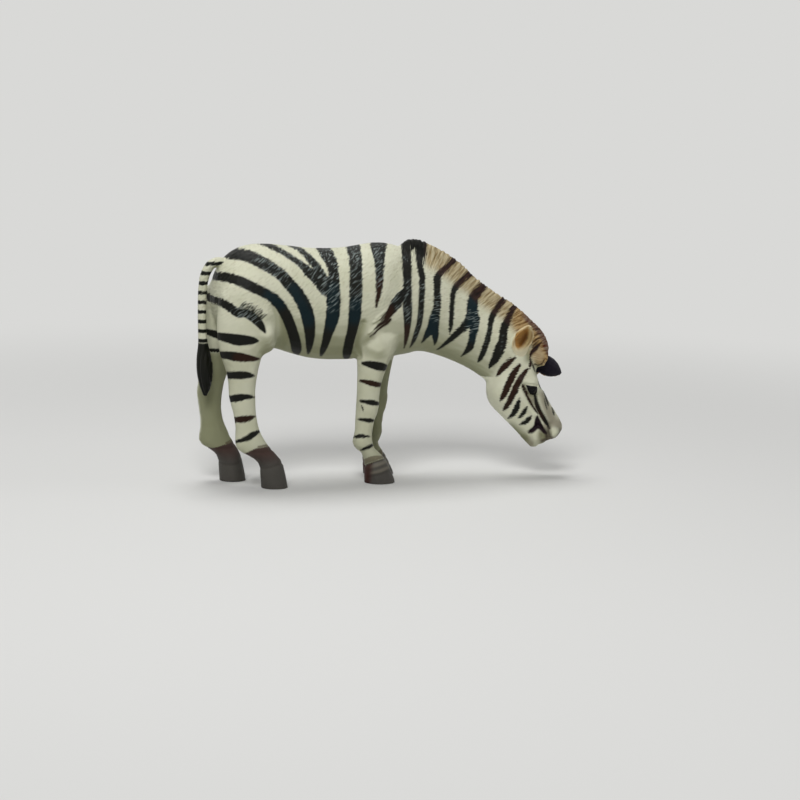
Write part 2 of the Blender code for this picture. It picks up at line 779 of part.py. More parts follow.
def make_ear(name, frame, paint):
    """A leaf-shaped cup with an oval root that sits in its seat, and a peg."""
    root = EAR_ROOT_THICKNESS / 2
    rings = [ear_ring(frame, 0, EAR_ROOT_WIDTH / 2, root, -root)]
    for run, wide, out, hollow in EAR_SHARES:
        half = wide * EAR_WIDTH / 2
        rings.append(ear_ring(frame, run * EAR_LENGTH, half, out * EAR_CUP, hollow * EAR_CUP))
    ear = new_object(name, closed_mesh(name, rings))
    peg = round_pin(name + "_peg", frame, EAR_PEG_RADIUS, -EAR_PEG_LENGTH, EAR_PEG_LENGTH / 4)
    boolean(ear, peg, "UNION")
    ear.data.materials.append(paint)


def ear_seat(frame):
    """The seat round an ear's lower half, which follows the ear at a gap, and the hole for its peg."""
    gap = GLUE_GAP
    root = EAR_ROOT_THICKNESS / 2 + gap
    rings = [ear_ring(frame, -gap, EAR_ROOT_WIDTH / 2 + gap, root, -root)]
    for run, wide, out, _ in EAR_SHARES[:EAR_SEATED_ROWS]:
        half = wide * EAR_WIDTH / 2 + gap
        rings.append(ear_ring(frame, run * EAR_LENGTH, half, out * EAR_CUP + gap, -root))
    seat = as_cutter(new_object("ear_seat", closed_mesh("ear_seat", rings)))
    hole = round_pin("ear_hole", frame, EAR_PEG_RADIUS + gap, -EAR_PEG_LENGTH - gap, gap)
    return seat, hole


def tail_frame():
    """Where the tail leaves the rump: its third axis points to the rear."""
    place = Vector((TAIL_ROOT_SHARE[0] * BODY_LENGTH, 0, TAIL_ROOT_SHARE[1] * BACK_HEIGHT))
    return frame_at(place, (-1, 0, 0), (0, 0, 1))


def tail_rings(frame, gap=0):
    """Cross-sections down the tail, square to its run, opened by the gap."""
    root = frame.translation
    line = through_rows([
        (root.x - back * TAIL_RADIUS, root.z - down * TAIL_LENGTH, thick)
        for back, down, thick in TAIL_SHARES
    ])
    rings = []
    for i, (x, z, thick) in enumerate(line):
        before, after = line[max(i - 1, 0)], line[min(i + 1, len(line) - 1)]
        run = Vector((after[0] - before[0], 0, after[1] - before[1])).normalized()
        out = Vector((run.z, 0, -run.x))
        radius = thick * TAIL_RADIUS + gap
        outline = circle(radius, radius)[::2]
        rings.append([Vector((x, 0, z)) + out * u + Vector((0, v, 0)) for u, v in outline])
    return rings


def make_tail(frame, paint):
    """A tail that leaves the rump, hangs and ends in a tuft."""
    tail = new_object("tail", closed_mesh("tail", tail_rings(frame)))
    peg = round_pin("tail_peg", frame, TAIL_PEG_RADIUS, -TAIL_PEG_LENGTH, TAIL_RADIUS / 2)
    boolean(tail, peg, "UNION")
    tail.data.materials.append(paint)


def tail_seat(frame):
    """The seat round the tail's root, which follows the tail at a gap, and the hole for its peg."""
    gap = GLUE_GAP
    rings = tail_rings(frame, gap)[:TAIL_SEATED_RINGS]
    floor = [point + Vector((gap, 0, 0)) for point in rings[0]]
    seat = as_cutter(new_object("tail_seat", closed_mesh("tail_seat", [floor] + rings[1:])))
    hole = round_pin("tail_hole", frame, TAIL_PEG_RADIUS + gap, -TAIL_PEG_LENGTH - gap, gap)
    return seat, hole


def stand_at_origin():
    """Carries everything on one empty, so that the middle of the soles' ground is at the origin."""
    bpy.context.view_layer.update()
    view = bpy.context.evaluated_depsgraph_get()
    corners = [
        Vector(corner) for obj in bpy.data.objects if not obj.hide_render
        for corner in obj.evaluated_get(view).bound_box
    ]
    zebra = new_object("zebra", None)
    for obj in bpy.data.objects:
        if obj != zebra:
            obj.parent = zebra
    for k in (0, 1):
        zebra.location[k] = -(min(c[k] for c in corners) + max(c[k] for c in corners)) / 2


def main():
    clear_scene()
    cream = plastic("cream_pvc", (0.62, 0.61, 0.47), 0.45)
    tan = plastic("tan_mane_pvc", (0.42, 0.28, 0.14), 0.5)
    brown = plastic("brown_ear_pvc", (0.35, 0.20, 0.09), 0.5)
    dark = plastic("dark_tail_pvc", (0.05, 0.04, 0.035), 0.5)
    skin = make_skin()
    ears = (
        ("right_ear", ear_frame(RIGHT_EAR_SHARE, RIGHT_EAR_POINTS, RIGHT_EAR_BACK, -1)),
        ("left_ear", ear_frame(LEFT_EAR_SHARE, LEFT_EAR_POINTS, LEFT_EAR_BACK, 1)),
    )
    rump = tail_frame()
    make_torso(skin, cream, rump)
    ear_frames = [frame for _, frame in ears]
    make_neck_and_head(skin, cream, ear_frames)
    make_mane(skin, tan, ear_frames)
    make_legs(skin, cream)
    for name, frame in ears:
        make_ear(name, frame, brown)
    make_tail(rump, dark)
    stand_at_origin()


main()
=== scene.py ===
import math
from functools import partial

import bmesh
import bpy
import numpy as np
from mathutils import Matrix, Vector
from mathutils.bvhtree import BVHTree


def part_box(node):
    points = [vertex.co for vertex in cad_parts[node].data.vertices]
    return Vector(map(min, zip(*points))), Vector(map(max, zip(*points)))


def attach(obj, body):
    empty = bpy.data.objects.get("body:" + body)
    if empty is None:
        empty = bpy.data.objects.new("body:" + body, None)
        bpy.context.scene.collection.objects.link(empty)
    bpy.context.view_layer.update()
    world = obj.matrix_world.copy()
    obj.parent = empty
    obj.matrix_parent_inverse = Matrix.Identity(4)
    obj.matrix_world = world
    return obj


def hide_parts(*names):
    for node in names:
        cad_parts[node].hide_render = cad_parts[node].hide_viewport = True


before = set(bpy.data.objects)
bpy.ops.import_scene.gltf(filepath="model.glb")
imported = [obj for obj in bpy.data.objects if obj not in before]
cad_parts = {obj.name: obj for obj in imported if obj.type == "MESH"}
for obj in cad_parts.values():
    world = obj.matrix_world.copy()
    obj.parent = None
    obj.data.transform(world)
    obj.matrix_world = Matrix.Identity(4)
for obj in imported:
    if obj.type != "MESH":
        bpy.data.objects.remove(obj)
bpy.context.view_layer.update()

MM = 0.001

# The figure is worked in the design's millimetres: X to the head, Y to the animal's left, Z up, feet at 0.
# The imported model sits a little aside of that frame, by what the torso's own box says.
TORSO_FRONT = 0.9
torso_low, torso_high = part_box("torso")
SHIFT = np.array([torso_high[0] / MM - TORSO_FRONT, (torso_low[1] + torso_high[1]) / 2 / MM, 0.0])

# The photograph's camera in that frame: where it stands, and where it looks
EYE = np.array([-299.3, -832.5, 169.1])
LOOKS = Vector((0.33706487, 0.92816893, -0.1577647))
RIGHTWARD = Vector((0.94083706, -0.33827002, 0.01997531))
LENS = 114.04
SENSOR = 36

# The neck's bend to the animal's right
BEND_START = 6.0
BEND_RUN = 38.0
BEND_ANGLE = math.radians(20)
BEND_RADIUS = BEND_RUN / BEND_ANGLE

# The skin's cells, the swelling that closes the gaps of the glued joints, and the smoothing that takes the
# facets away, of which the thin ears take a share
SKIN_CELL = 0.3
JOINT_SWELL = 0.25
SMOOTHING_ROUNDS = 24
SMOOTHING_IN = 0.6
SMOOTHING_OUT = 0.615
EAR_SMOOTHING_SHARE = 0.25
MERGED_WITHIN = 0.001

# The heights where a leg starts and where it is clear of the torso, and how far it reaches from its middle
LEG_TOP = 46.0
LEG_CLEAR = 36.0
LEG_REACH = 9.0
# The x that parts the forelegs from the hind legs, and the tail's
MID_BODY = -30.0
TAIL_MIDDLE = -66.0

# The thinnest half width that a curved stroke keeps, the room round a stroke for its width, and the depth
# outside it past which it no longer counts
THINNEST = 0.03
STROKE_ROOM = 3.0
FAR = 4.0

# A strand of the mane, coarse enough to show in the render, and more than the mane's whole length
STRAND_WIDTH = 0.3
STRAND_LENGTH = 3.6
MANE_LENGTH = 200

SLOTS = {
    "torso": "coat", "neck_and_head": "coat", "mane": "mane", "right_ear": "ears", "left_ear": "ears",
    "front_right_leg": "coat", "front_left_leg": "coat", "hind_right_leg": "coat", "hind_left_leg": "coat",
    "tail": "tail",
}
NAMES = list(SLOTS)
LEGS = [name for name in NAMES if name.endswith("leg")]

# Stripes as the photograph shows them from the side: rows of (x, z, half width) in millimetres,
# where the eye's line through that spot of the skin meets the figure's middle plane
BODY_STRIPES = (
    # Rump, from the spine down to the thigh
    ((-71, 85, 1.0), (-60, 86, 1.2), (-52, 85.2, 0.9), (-48.5, 84.2, 0.8), (-45.1, 82.8, 0.9),
     (-41, 80.7, 0.9), (-37.5, 78.5, 0.95), (-34.6, 76.5, 1.1), (-31.4, 73.7, 1.7), (-27.8, 71.2, 2.4),
     (-25, 68.2, 2.8)),
    ((-39, 83.1, 0.3), (-37.3, 82.6, 0.5), (-35.3, 81.8, 0.7), (-33.2, 80.2, 0.95), (-31, 78, 1.2),
     (-29, 75.7, 1.4), (-27.2, 73.1, 1.5), (-25.9, 70.8, 1.6), (-25, 68.8, 2.0)),
    ((-28, 84, 1.2), (-27.6, 82.5, 1.5), (-26.3, 81.2, 1.9), (-24.9, 79.6, 2.3), (-23.4, 77, 2.0),
     (-22.6, 74, 1.8), (-22.4, 70, 2.2), (-22.5, 66, 2.5), (-22.3, 62, 2.4), (-22.6, 58, 2.45),
     (-23.3, 55, 2.1), (-24.2, 52, 1.7), (-25, 49, 1.4), (-25.9, 46.5, 1.1), (-26.6, 44.6, 0.5)),
    ((-72, 80.5, 1.0), (-66, 80.9, 1.5), (-60, 80.6, 1.8), (-54, 79.8, 2.0), (-48.6, 77.3, 2.1),
     (-45.3, 75.4, 1.9), (-42.2, 73.4, 1.9), (-39.7, 71, 2.0), (-37.6, 68.6, 2.1), (-35.4, 66, 2.2),
     (-33.6, 63.2, 2.3), (-32.3, 60.4, 2.35), (-31.5, 57.5, 2.35), (-31, 54.5, 2.1), (-30.8, 51.5, 1.8),
     (-30.9, 48.8, 1.35), (-31.1, 46.6, 0.85), (-31.3, 45.4, 0.4)),
    ((-72, 72.5, 0.8), (-66, 72.9, 1.4), (-60, 72.2, 1.6), (-55, 70.4, 1.7), (-50.3, 68.1, 1.7),
     (-47.5, 66.8, 1.65), (-44.6, 65.1, 1.75), (-42.2, 62.9, 1.8), (-40.4, 60.3, 1.9), (-39, 57.6, 1.9),
     (-37.9, 54.9, 1.9), (-36.9, 52.2, 1.9), (-36.1, 49.5, 1.9), (-35.6, 47, 1.8), (-35.4, 45.6, 0.9)),
    ((-71, 65, 0.5), (-66, 64.9, 1.1), (-61, 62.8, 1.4), (-57, 60, 1.4), (-54.5, 60, 1.5), (-52, 58.8, 1.6),
     (-50, 57, 1.4), (-48.5, 55, 1.0), (-47.3, 53.1, 0.3)),
    # Barrel
    ((-15.5, 85, 2.2), (-15.4, 82.4, 2.45), (-14.8, 79.2, 2.35), (-14.4, 75.6, 2.3), (-14.2, 71.8, 2.25),
     (-14.2, 67.4, 2.35), (-14.2, 63, 2.25), (-14.4, 58.6, 2.3), (-14.8, 55, 2.1), (-15.4, 52, 1.9),
     (-16.2, 49, 1.8), (-16.9, 46, 1.75), (-17.2, 44.3, 1.4), (-17.4, 43.2, 0.7)),
    ((-6.2, 85.5, 3.1), (-6.2, 82.9, 3.0), (-5.9, 79.2, 2.2), (-5.6, 75.9, 1.75), (-5.6, 72.5, 1.4),
     (-5.7, 69, 1.2), (-5.9, 65.8, 0.9), (-6.3, 63, 0.6), (-6.5, 61.1, 0.3)),
    # Withers, and the shoulder with its branch
    ((4.2, 86, 1.7), (4.2, 83, 1.9), (4.4, 81, 1.9), (4.5, 79, 1.75), (4.7, 76, 1.65), (4.9, 72, 1.5),
     (5, 68, 1.45), (5, 64, 1.6), (5.05, 60, 1.7), (5.2, 57, 1.55), (5.2, 54, 1.25), (5, 51.2, 0.95),
     (4.7, 48.7, 0.65), (4.15, 46.2, 0.15)),
    ((5, 67, 1.2), (3, 64.6, 1.8), (1.3, 62.5, 1.9), (-0.4, 60.3, 1.6), (-1.8, 58.2, 1.1), (-3, 56.4, 0.8),
     (-4, 55.2, 0.5)),
    ((-1, 60.8, 0.5), (-2.6, 58.8, 0.34), (-4.2, 57.2, 0.26), (-5.3, 56.1, 0.06)),
    ((-2, 58.8, 0.5), (-3.4, 57.2, 0.32), (-4.8, 55.8, 0.08)),
    ((-3.2, 56.2, 0.6), (-4.8, 54.9, 0.5), (-6.2, 54, 0.36), (-7.6, 53.3, 0.08)),
    ((-2.2, 55.8, 0.5), (-3.6, 54.6, 0.35), (-4.8, 53.7, 0.4), (-6.2, 52.8, 0.32), (-7.6, 52, 0.28),
     (-9.1, 51.1, 0.08)),
    ((-1.4, 56.4, 0.5), (-2.6, 54.9, 0.3), (-3.6, 53.9, 0.06)),
    ((9.2, 86, 2.6), (9.4, 82.8, 2.5), (9.7, 80, 2.0), (9.6, 77.5, 1.55), (9.5, 75, 1.1), (10.3, 71.5, 1.1),
     (10.45, 67.4, 1.1), (10.35, 63, 1.05), (10.1, 58.6, 1.05), (9.75, 55.1, 1.0), (9, 52.4, 0.95),
     (8.1, 49.8, 0.8), (7.1, 47.6, 0.45), (6.3, 46.3, 0.12)),
    ((6.9, 84.8, 2.6), (7, 82.6, 1.6)),
    # Neck, each from its bar in the mane
    ((24.6, 80.2, 1.4), (23, 78.2, 1.45), (21.5, 76.3, 1.3), (19.2, 74.2, 1.2), (17.2, 72.6, 1.2),
     (16.2, 71, 1.3), (16.1, 69, 1.35), (16.2, 65.5, 1.25), (16.3, 62, 1.35), (16, 59, 1.5),
     (15.4, 56.4, 1.9), (15, 54, 2.15), (14.8, 52.4, 2.1)),
    ((14.2, 53, 1.5), (13.1, 51.3, 1.2), (12.1, 49.8, 0.75), (11.4, 48.7, 0.4), (10.6, 47.8, 0.1)),
    ((15.6, 53, 1.4), (15.8, 51, 1.3), (15.9, 49.2, 0.95), (15.8, 48, 0.6), (15.6, 47, 0.15)),
    ((31, 74.4, 1.3), (29.3, 72.6, 1.3), (27.6, 71.5, 1.2), (25.8, 70, 1.1), (24, 68.4, 1.1),
     (22.8, 66.9, 1.1), (22.2, 65, 1.0), (22.1, 63.5, 0.95), (21.9, 61, 0.9), (21.8, 58, 0.85),
     (21.75, 55, 0.8), (21.6, 53, 0.65), (21.4, 51.5, 0.4), (21.3, 50.6, 0.1)),
    ((36, 70, 1.2), (34.4, 68.4, 1.3), (33, 67, 1.5), (31.5, 65.6, 1.7), (30.3, 63.8, 1.95),
     (29.8, 61.5, 2.0), (29.7, 59, 2.15), (29.7, 57, 2.4), (29.3, 55.3, 2.6)),
    ((28.5, 54.8, 1.9), (26.6, 53, 1.55), (24.8, 51.4, 1.3), (23, 49.9, 1.1), (21.2, 48.4, 0.85),
     (19.2, 46.9, 0.55), (17.5, 45.7, 0.3), (16.5, 45.2, 0.1)),
    ((30.9, 56, 1.7), (30.6, 53, 1.75), (30.2, 50.5, 1.5), (29.8, 48, 1.35), (29.2, 46, 1.3),
     (28.1, 44.6, 0.9), (27, 43.5, 0.5), (25.8, 42.5, 0.12)),
    ((43.5, 65, 0.9), (42, 63, 0.95), (40.6, 61.4, 1.1), (39, 59.3, 1.15), (37.8, 57.4, 1.15),
     (37, 55.3, 1.05), (36.7, 53, 0.95), (36.4, 51, 0.95), (35.8, 48.2, 1.1), (34.9, 45.5, 1.05),
     (34, 43.1, 1.0), (33.2, 41.6, 0.8), (32.4, 40.5, 0.3)),
    ((47.5, 61.6, 0.8), (45.8, 59.8, 0.95), (44.6, 58, 1.05), (43.7, 56, 1.2), (42.8, 54, 1.45),
     (42, 52, 1.5), (41.8, 50, 1.45), (41.6, 47.5, 1.65), (40.7, 45, 1.9), (39.7, 42.6, 1.7),
     (38.3, 40.4, 1.3), (37.2, 38.8, 0.7), (36.8, 38, 0.25)),
)

HEAD_STRIPES = (
    # Cheek and jaw
    ((46.6, 41.4, 0.4), (45, 40.4, 0.85), (43.4, 39.1, 1.15), (41.9, 37.6, 1.1), (40.6, 36.1, 0.7),
     (39.7, 35.1, 0.2)),
    ((48.5, 38.8, 0.4), (47.3, 37.2, 0.95), (46.1, 35.4, 1.2), (44.9, 33, 1.25), (43.9, 30.8, 1.2),
     (43, 28.8, 1.05), (42.1, 27.2, 0.7), (41.5, 26.2, 0.2)),
    ((51.7, 37.3, 0.4), (50.6, 36, 0.7), (49.2, 34.2, 1.0), (48, 32.2, 1.15), (47, 30.1, 1.2),
     (45.9, 27.7, 1.15), (44.8, 25.4, 1.05), (43.6, 23.7, 0.85), (42.6, 22.5, 0.25)),
    ((48.7, 26.6, 0.15), (48.4, 25.2, 0.7), (47.9, 23.4, 1.05), (46.9, 21.5, 0.95), (45.8, 20.3, 0.6),
     (44.5, 19.5, 0.15)),
    ((51.7, 23.6, 0.15), (51.1, 22.2, 0.65), (50.3, 21, 0.72), (49.4, 20, 0.45), (48.5, 19.4, 0.12)),
    ((53.6, 20.1, 0.2), (52.8, 19, 0.72), (51.6, 18, 0.8), (50.3, 17.4, 0.5), (49.1, 17.1, 0.15)),
    # Under the eye, and the bridge of the nose
    ((49.8, 31.4, 0.3), (50.7, 29.6, 0.42), (51.7, 27.6, 0.48), (52.8, 25.5, 0.46), (53.9, 23.8, 0.4),
     (55, 22.2, 0.35), (56, 20.9, 0.2)),
    ((55.2, 28.4, 0.35), (55.3, 26.6, 0.42), (55.6, 24.8, 0.62), (56.3, 22.6, 0.8), (57.4, 20.6, 0.76),
     (58.6, 18.7, 0.75), (59.7, 17.1, 0.6), (60.4, 16, 0.35), (60.8, 15.1, 0.15)),
    ((56.2, 32.6, 0.12), (56.9, 31.1, 0.3), (57.6, 30.2, 0.12)),
    ((58.2, 29.2, 0.15), (58.9, 27, 0.33), (59.5, 25.2, 0.33), (60.1, 23.5, 0.12)),
    ((58.2, 26, 0.08), (58.8, 24, 0.16), (59.4, 22.3, 0.06)),
    ((61.6, 22.6, 0.1), (62.1, 21.3, 0.3), (62.5, 20, 0.12)),
    # Between the ear and the forelock, and under the forelock
    ((52.5, 37.4, 0.25), (52.7, 38.6, 0.55), (52.8, 40, 0.4), (52.7, 41.6, 0.35), (53.1, 42.9, 0.55),
     (54.1, 44.1, 0.7), (55.3, 45.4, 0.6), (56.7, 46.6, 0.15)),
    ((53.2, 39.6, 0.15), (54.2, 37.8, 0.28), (55, 36.2, 0.1)),
    ((54.4, 38.9, 0.08), (55.8, 38.4, 0.14), (57.2, 39.1, 0.14), (58, 40.6, 0.08)),
    ((53.4, 45.1, 0.08), (54.3, 46.3, 0.2), (55.6, 47.3, 0.08)),
    ((54, 47.3, 0.08), (55.1, 48.1, 0.18), (56.4, 48.3, 0.06)),
    ((54.2, 49.3, 0.08), (55.2, 49.9, 0.16), (56.4, 49.9, 0.06)),
    ((54.3, 51.2, 0.08), (55, 51.6, 0.15), (55.9, 51.4, 0.06)),
)

MOUTH = (
    ((55.9, 19.8, 0.12), (56, 18.8, 0.5), (56.15, 17.6, 1.0), (56.3, 16.5, 1.3)),
    ((55.7, 16, 0.85), (54.7, 15, 0.62), (53.7, 14.4, 0.5), (52.8, 13.8, 0.15)),
    ((57, 16.2, 0.85), (58, 15, 0.6), (59, 13.9, 0.45), (59.8, 13.2, 0.15)),
)

LEG_STRIPES = (
    # Fore leg
    ((-11.2, 41.2, 0.5), (-9, 40.8, 1.05), (-6, 40.1, 1.45), (-3.5, 39.6, 1.35), (-2.2, 39.4, 0.6)),
    ((-12, 35, 0.3), (-9.8, 34.5, 0.75), (-7, 33.7, 0.95), (-4.9, 33.3, 0.8), (-3.9, 33.2, 0.35)),
    ((-11.8, 27.8, 0.35), (-9.5, 27.4, 0.7), (-7.3, 27, 0.9), (-5.4, 26.6, 0.6)),
    ((-11.3, 26, 0.12), (-11, 25.2, 0.2), (-10.8, 24.2, 0.08)),
    ((-12.3, 21.3, 0.35), (-10, 20.9, 0.65), (-8.5, 20.7, 0.75), (-7, 20.6, 0.45)),
    ((-14.4, 14.8, 0.25), (-12.9, 15.1, 0.5), (-11.5, 15.2, 0.65), (-10, 15.1, 0.5), (-8.2, 14.9, 0.2)),
    ((-11.4, 10, 0.2), (-9.8, 10.6, 0.5), (-8, 11.3, 0.62), (-6.3, 12.1, 0.2)),
    # Hind leg
    ((-68, 53, 0.5), (-63, 52, 1.3), (-57, 50.7, 1.9), (-54, 50.5, 1.65), (-51.5, 50.3, 1.2),
     (-49.7, 50.1, 0.35)),
    ((-67, 46, 0.4), (-62, 45.6, 1.2), (-57, 44.8, 1.55), (-54, 44.3, 1.3), (-51, 43.9, 0.8),
     (-49.1, 43.8, 0.25)),
    ((-66, 38, 0.4), (-62, 38.4, 1.0), (-57, 38.4, 1.3), (-54, 38.3, 1.2), (-52.3, 38.1, 0.9),
     (-50.8, 38, 0.25)),
    ((-64, 29.6, 0.4), (-61, 30, 1.0), (-57, 30.4, 1.25), (-54.5, 30.7, 1.0), (-52.5, 30.6, 0.7),
     (-50.8, 30.5, 0.25)),
    ((-63, 22, 0.4), (-60, 22.5, 0.8), (-57, 22.8, 1.0), (-55, 22.8, 1.15), (-52.5, 23.2, 0.9),
     (-50.5, 23.7, 0.3)),
    ((-58, 14.9, 0.3), (-55.5, 15.4, 0.6), (-53, 16.2, 1.0), (-51, 17.3, 1.0), (-48.8, 18.4, 0.4)),
)

# Worn paint on the pasterns, pale arcs on the fore hoof that are painted highlights on its ridges, the line
# where hair meets hoof, and the rings that grow round a hoof
FORE_PASTERN = (((-9.8, 6, 0.9), (-6.8, 6.9, 1.0), (-3.2, 7.4, 0.5)),)
HIND_PASTERN = (((-49, 12.9, 0.1), (-45, 13.4, 0.2)),)
HOOF_ARC_HIGHLIGHTS = (
    ((-8.6, 3.7, 0.1), (-5, 4.5, 0.25), (-1.2, 5.9, 0.2)),
    ((-7.4, 1.7, 0.1), (-4, 2.3, 0.35), (0.2, 3.9, 0.25)),
)
CORONETS = (
    ((-10.2, 4.5, 0.1), (-6, 5.6, 0.1), (-1.6, 6.9, 0.1)),
)
HOOF_RIDGES = (
    ((-8.8, 2.6, 0.1), (-5, 3.3, 0.1), (-0.6, 4.9, 0.1)),
    ((-8.2, 0.5, 0.1), (-4, 1.2, 0.1), (0.6, 2.7, 0.1)),
    ((-51, 11.2, 0.1), (-46, 11.2, 0.1), (-42.6, 12.4, 0.1)),
    ((-48.6, 5.2, 0.1), (-44, 5.6, 0.1), (-39.4, 7.2, 0.1)),
)

# Where the dark paint turns brown, and where it shines blue or green: rows of (x, z, reach)
BROWN = (
    ((-5.6, 70, 1.2), (-6.2, 64, 2.2), (-6.5, 60, 2.5)), ((5, 53, 1.6), (4.6, 49, 2.2), (4, 45, 2.5)),
    ((-1.6, 60, 1.6), (-3, 56.5, 2.4), (-6, 54, 2.6), (-9, 51, 2.5)), ((-60, 22.6, 2.5), (-50, 23.6, 2.5)),
    ((-12, 34.5, 1.6), (-4, 33.2, 1.6)), ((-57, 44.4, 1.5), (-50, 44, 2)), ((46, 42, 2), (40, 35, 2)),
    ((49, 39, 2), (44, 31, 1.4), (42, 26, 2)), ((52, 38, 2), (47.5, 32, 1.8), (42, 22, 2)),
    ((56, 19.5, 2.5), (56, 15, 2.5), (60, 13, 2)), ((53, 42.5, 1.4), (57, 46, 2)),
    ((49.7, 31.6, 1), (54.6, 23, 1)),
)
TEAL = (
    ((-46, 66, 1.5), (-42, 63, 2)), ((-37, 68, 1.5), (-31.5, 57, 2.2)), ((-22.5, 68, 1.5), (-22.6, 56, 2.6)),
    ((-14.2, 62, 2.2), (-14.4, 57.5, 2.2)), ((14.6, 57, 1.6), (14.6, 51.5, 2.6)),
    ((29.7, 63, 1.8), (30.5, 50, 2.4)),
)

# Where the light hair strokes, painted highlights where the hair ridges catch the light, lie thick on the
# dark paint
HAIR_HIGHLIGHT_STROKES = (
    ((-49, 77, 2.5), (-40, 71.5, 2.5)), ((-42, 81.5, 2), (-34, 76, 2.5), (-26, 70, 4), (-22.5, 63, 3)),
    ((-35, 81, 2), (-28, 75, 2.5)), ((-25, 79, 3), (-22, 72, 3)),
    ((-15, 79.5, 3), (-14.3, 66, 3.6), (-14.2, 63, 2)), ((-6, 80, 2.6), (-5.8, 70, 2)),
    ((4, 79.5, 1), (4.5, 78, 0.5)), ((5, 68, 2), (2, 63, 2.6), (5.4, 62, 2.6), (5.6, 57, 1.6)),
    ((-57, 60.2, 2), (-51, 59, 2.5)), ((16.4, 64, 1.8), (16, 57.5, 2)), ((30, 57, 2.2), (30, 52.5, 3)),
    ((36.6, 53, -0.5), (34.5, 44, -0.3)), ((41.8, 50, -0.6), (41, 44, -0.5)), ((10.5, 68, 1.2), (9, 51, 1)),
)

# Painted olive shade that lies in the hollows
HOLLOWS = (
    ((-11, 54.5, 0.2), (-12.2, 51.5, 0.6), (-12.9, 48, 0.8), (-13, 44.5, 0.8)),
    ((-41.4, 58, 0.2), (-40.2, 54, 1.0), (-39.6, 50.5, 1.5), (-40.4, 47.5, 1.2)),
    ((14, 42.6, 1.4), (24, 39.4, 1.4), (32, 36.8, 0.6)), ((46, 15.6, 1.0), (51, 11.8, 1.2)),
    ((51.3, 43.6, 0.3), (51.9, 41, 0.4)), ((57.9, 13.2, 0.4), (59.6, 11.4, 0.8)),
)

# Grey on the soft muzzle, the bridge of the nose and under the eye: partly greyer paint, partly painted shade
GREY_AND_SHADE = (
    ((64.4, 16.5, 1.2), (61.5, 17.4, 1.2), (59, 15.4, 0.6)), ((53.5, 9.8, 0.8), (50.6, 12, 0.6)),
    ((57.4, 27.5, 0.6), (59.6, 22.5, 1.0), (61.8, 18, 1.4)), ((52.6, 28.2, 0.3), (54.2, 25.4, 0.6)),
    ((58.2, 13.2, 0.6), (58.2, 10.8, 0.8)),
)

# Brown round the nostril and between the lips: partly the dark nostril and lip gap, partly painted shade
# under the nose
NOSTRIL_DARK_AND_SHADE = (
    ((59.8, 12.9, 0.3), (60.6, 11.7, 0.9), (62.2, 11.1, 0.8), (63.5, 11.7, 0.5)),
    ((58.6, 10.4, 0.5), (60.6, 11, 0.8)), ((65.2, 14.4, 0.2), (64.9, 13.2, 0.5), (64.2, 12.3, 0.5)),
    ((60.6, 15.4, 0.1), (60.5, 14, 0.2), (60.9, 12.8, 0.3)),
)

# Outlines of paint areas as seen from the side, in millimetres
MANE_AREA = (
    (2.2, 79.5), (8, 76.5), (11.3, 74.8), (13, 74.2), (15.2, 73.2), (17.4, 71.6), (20, 70), (22.4, 68.2),
    (24.6, 66.6), (27.2, 65.2), (29.6, 63.2), (31.8, 61.2), (34, 59.6), (37, 58), (40, 56), (42.6, 54.4),
    (44.6, 52.4), (46.2, 50.6), (47.8, 49.2), (51.4, 47.4), (52.6, 44.8), (51.8, 43), (53, 41), (53.6, 39.4),
    (55.2, 38.3), (57.3, 37.9), (60.5, 38), (64, 48), (60, 60), (50, 68), (35, 78), (18, 90), (0, 92),
)
POLL_AREA = (
    (44.8, 51.5), (46, 49.5), (51.5, 47), (51.5, 43.5), (53, 41), (53.6, 39), (55.5, 37.6), (60, 36),
    (64, 48), (60, 60), (49, 68), (46.5, 62), (45.2, 56),
)
EYE_SHAPE = (
    (51.0, 31.4), (53.2, 31.1), (55.6, 30.7), (55.75, 29), (55.6, 27.7), (54.5, 27.2), (53, 27.6),
    (51.9, 29.2),
)

EAR_OUTLINE = (
    (46.2, 50.3), (48.6, 51.6), (51, 52.9), (52.2, 52.7), (53.3, 50.8), (53.7, 49.2), (53.6, 47.5),
    (52.4, 45.8), (51, 44.6), (49.3, 43.3), (47.4, 43.6), (46.2, 45.6), (45.9, 48),
)
EAR_HOLLOW = (
    (46.1, 49.7), (48.6, 51.1), (51.1, 52.3), (51.9, 52), (51.6, 50), (51.1, 48.2), (50.3, 46.6),
    (49.2, 45.3), (47.8, 44.6), (46.6, 45), (46, 46.4), (45.8, 48),
)
EAR_DEPTH = (((51.2, 49.4, 0.1), (50.4, 47.7, 0.4), (49.4, 46.3, 0.2)),)
EAR_FOLD = (((52.9, 51.3, 0.08), (52.9, 49.4, 0.1), (52.4, 47.4, 0.1), (51.4, 45.6, 0.08)),)

# The way the near ear's cup opens, the way the far ear runs from its root, and the way its cup opens
RIGHT_EAR_OPENS = np.array([-0.15, -0.95, 0.2])
LEFT_EAR_RUNS = np.array([0.877, -0.227, -0.423])
LEFT_EAR_OPENS = np.array([0.055, 0.923, -0.38])

# How the strands of the mane stand: root spot (x, z) and the strand's slope in degrees
MANE_ROOTS = (
    (-2, 78, 100), (2.2, 78.8, 98), (8, 76.4, 88), (12, 74.4, 80), (15, 73.2, 68), (18.5, 70.8, 54),
    (22.4, 68, 45), (27, 65, 40), (31.8, 61.2, 38), (37, 58, 34), (42.6, 54.4, 27), (46.4, 50.4, 21),
    (49.5, 47.8, 20), (51.8, 45, 20), (52.4, 42.4, -4), (53, 40, -40),
)

# The forelock's round lobe
FORELOCK_LOBE = (((55.6, 44, 1.2), (55.9, 42, 1.9), (56, 41, 1.7)),)

# The hair that stands from the curl of the thigh's stripe
LASHES = tuple(
    ((-57 + 0.62 * k, 61.2 - 0.02 * k * k, 0.28),
     (-56.1 + 0.62 * k, 62.3 - 0.022 * k * k, 0.2),
     (-55.2 + 0.63 * k, 63.3 - 0.025 * k * k + 0.3 * (k % 3), 0.05))
    for k in range(14))

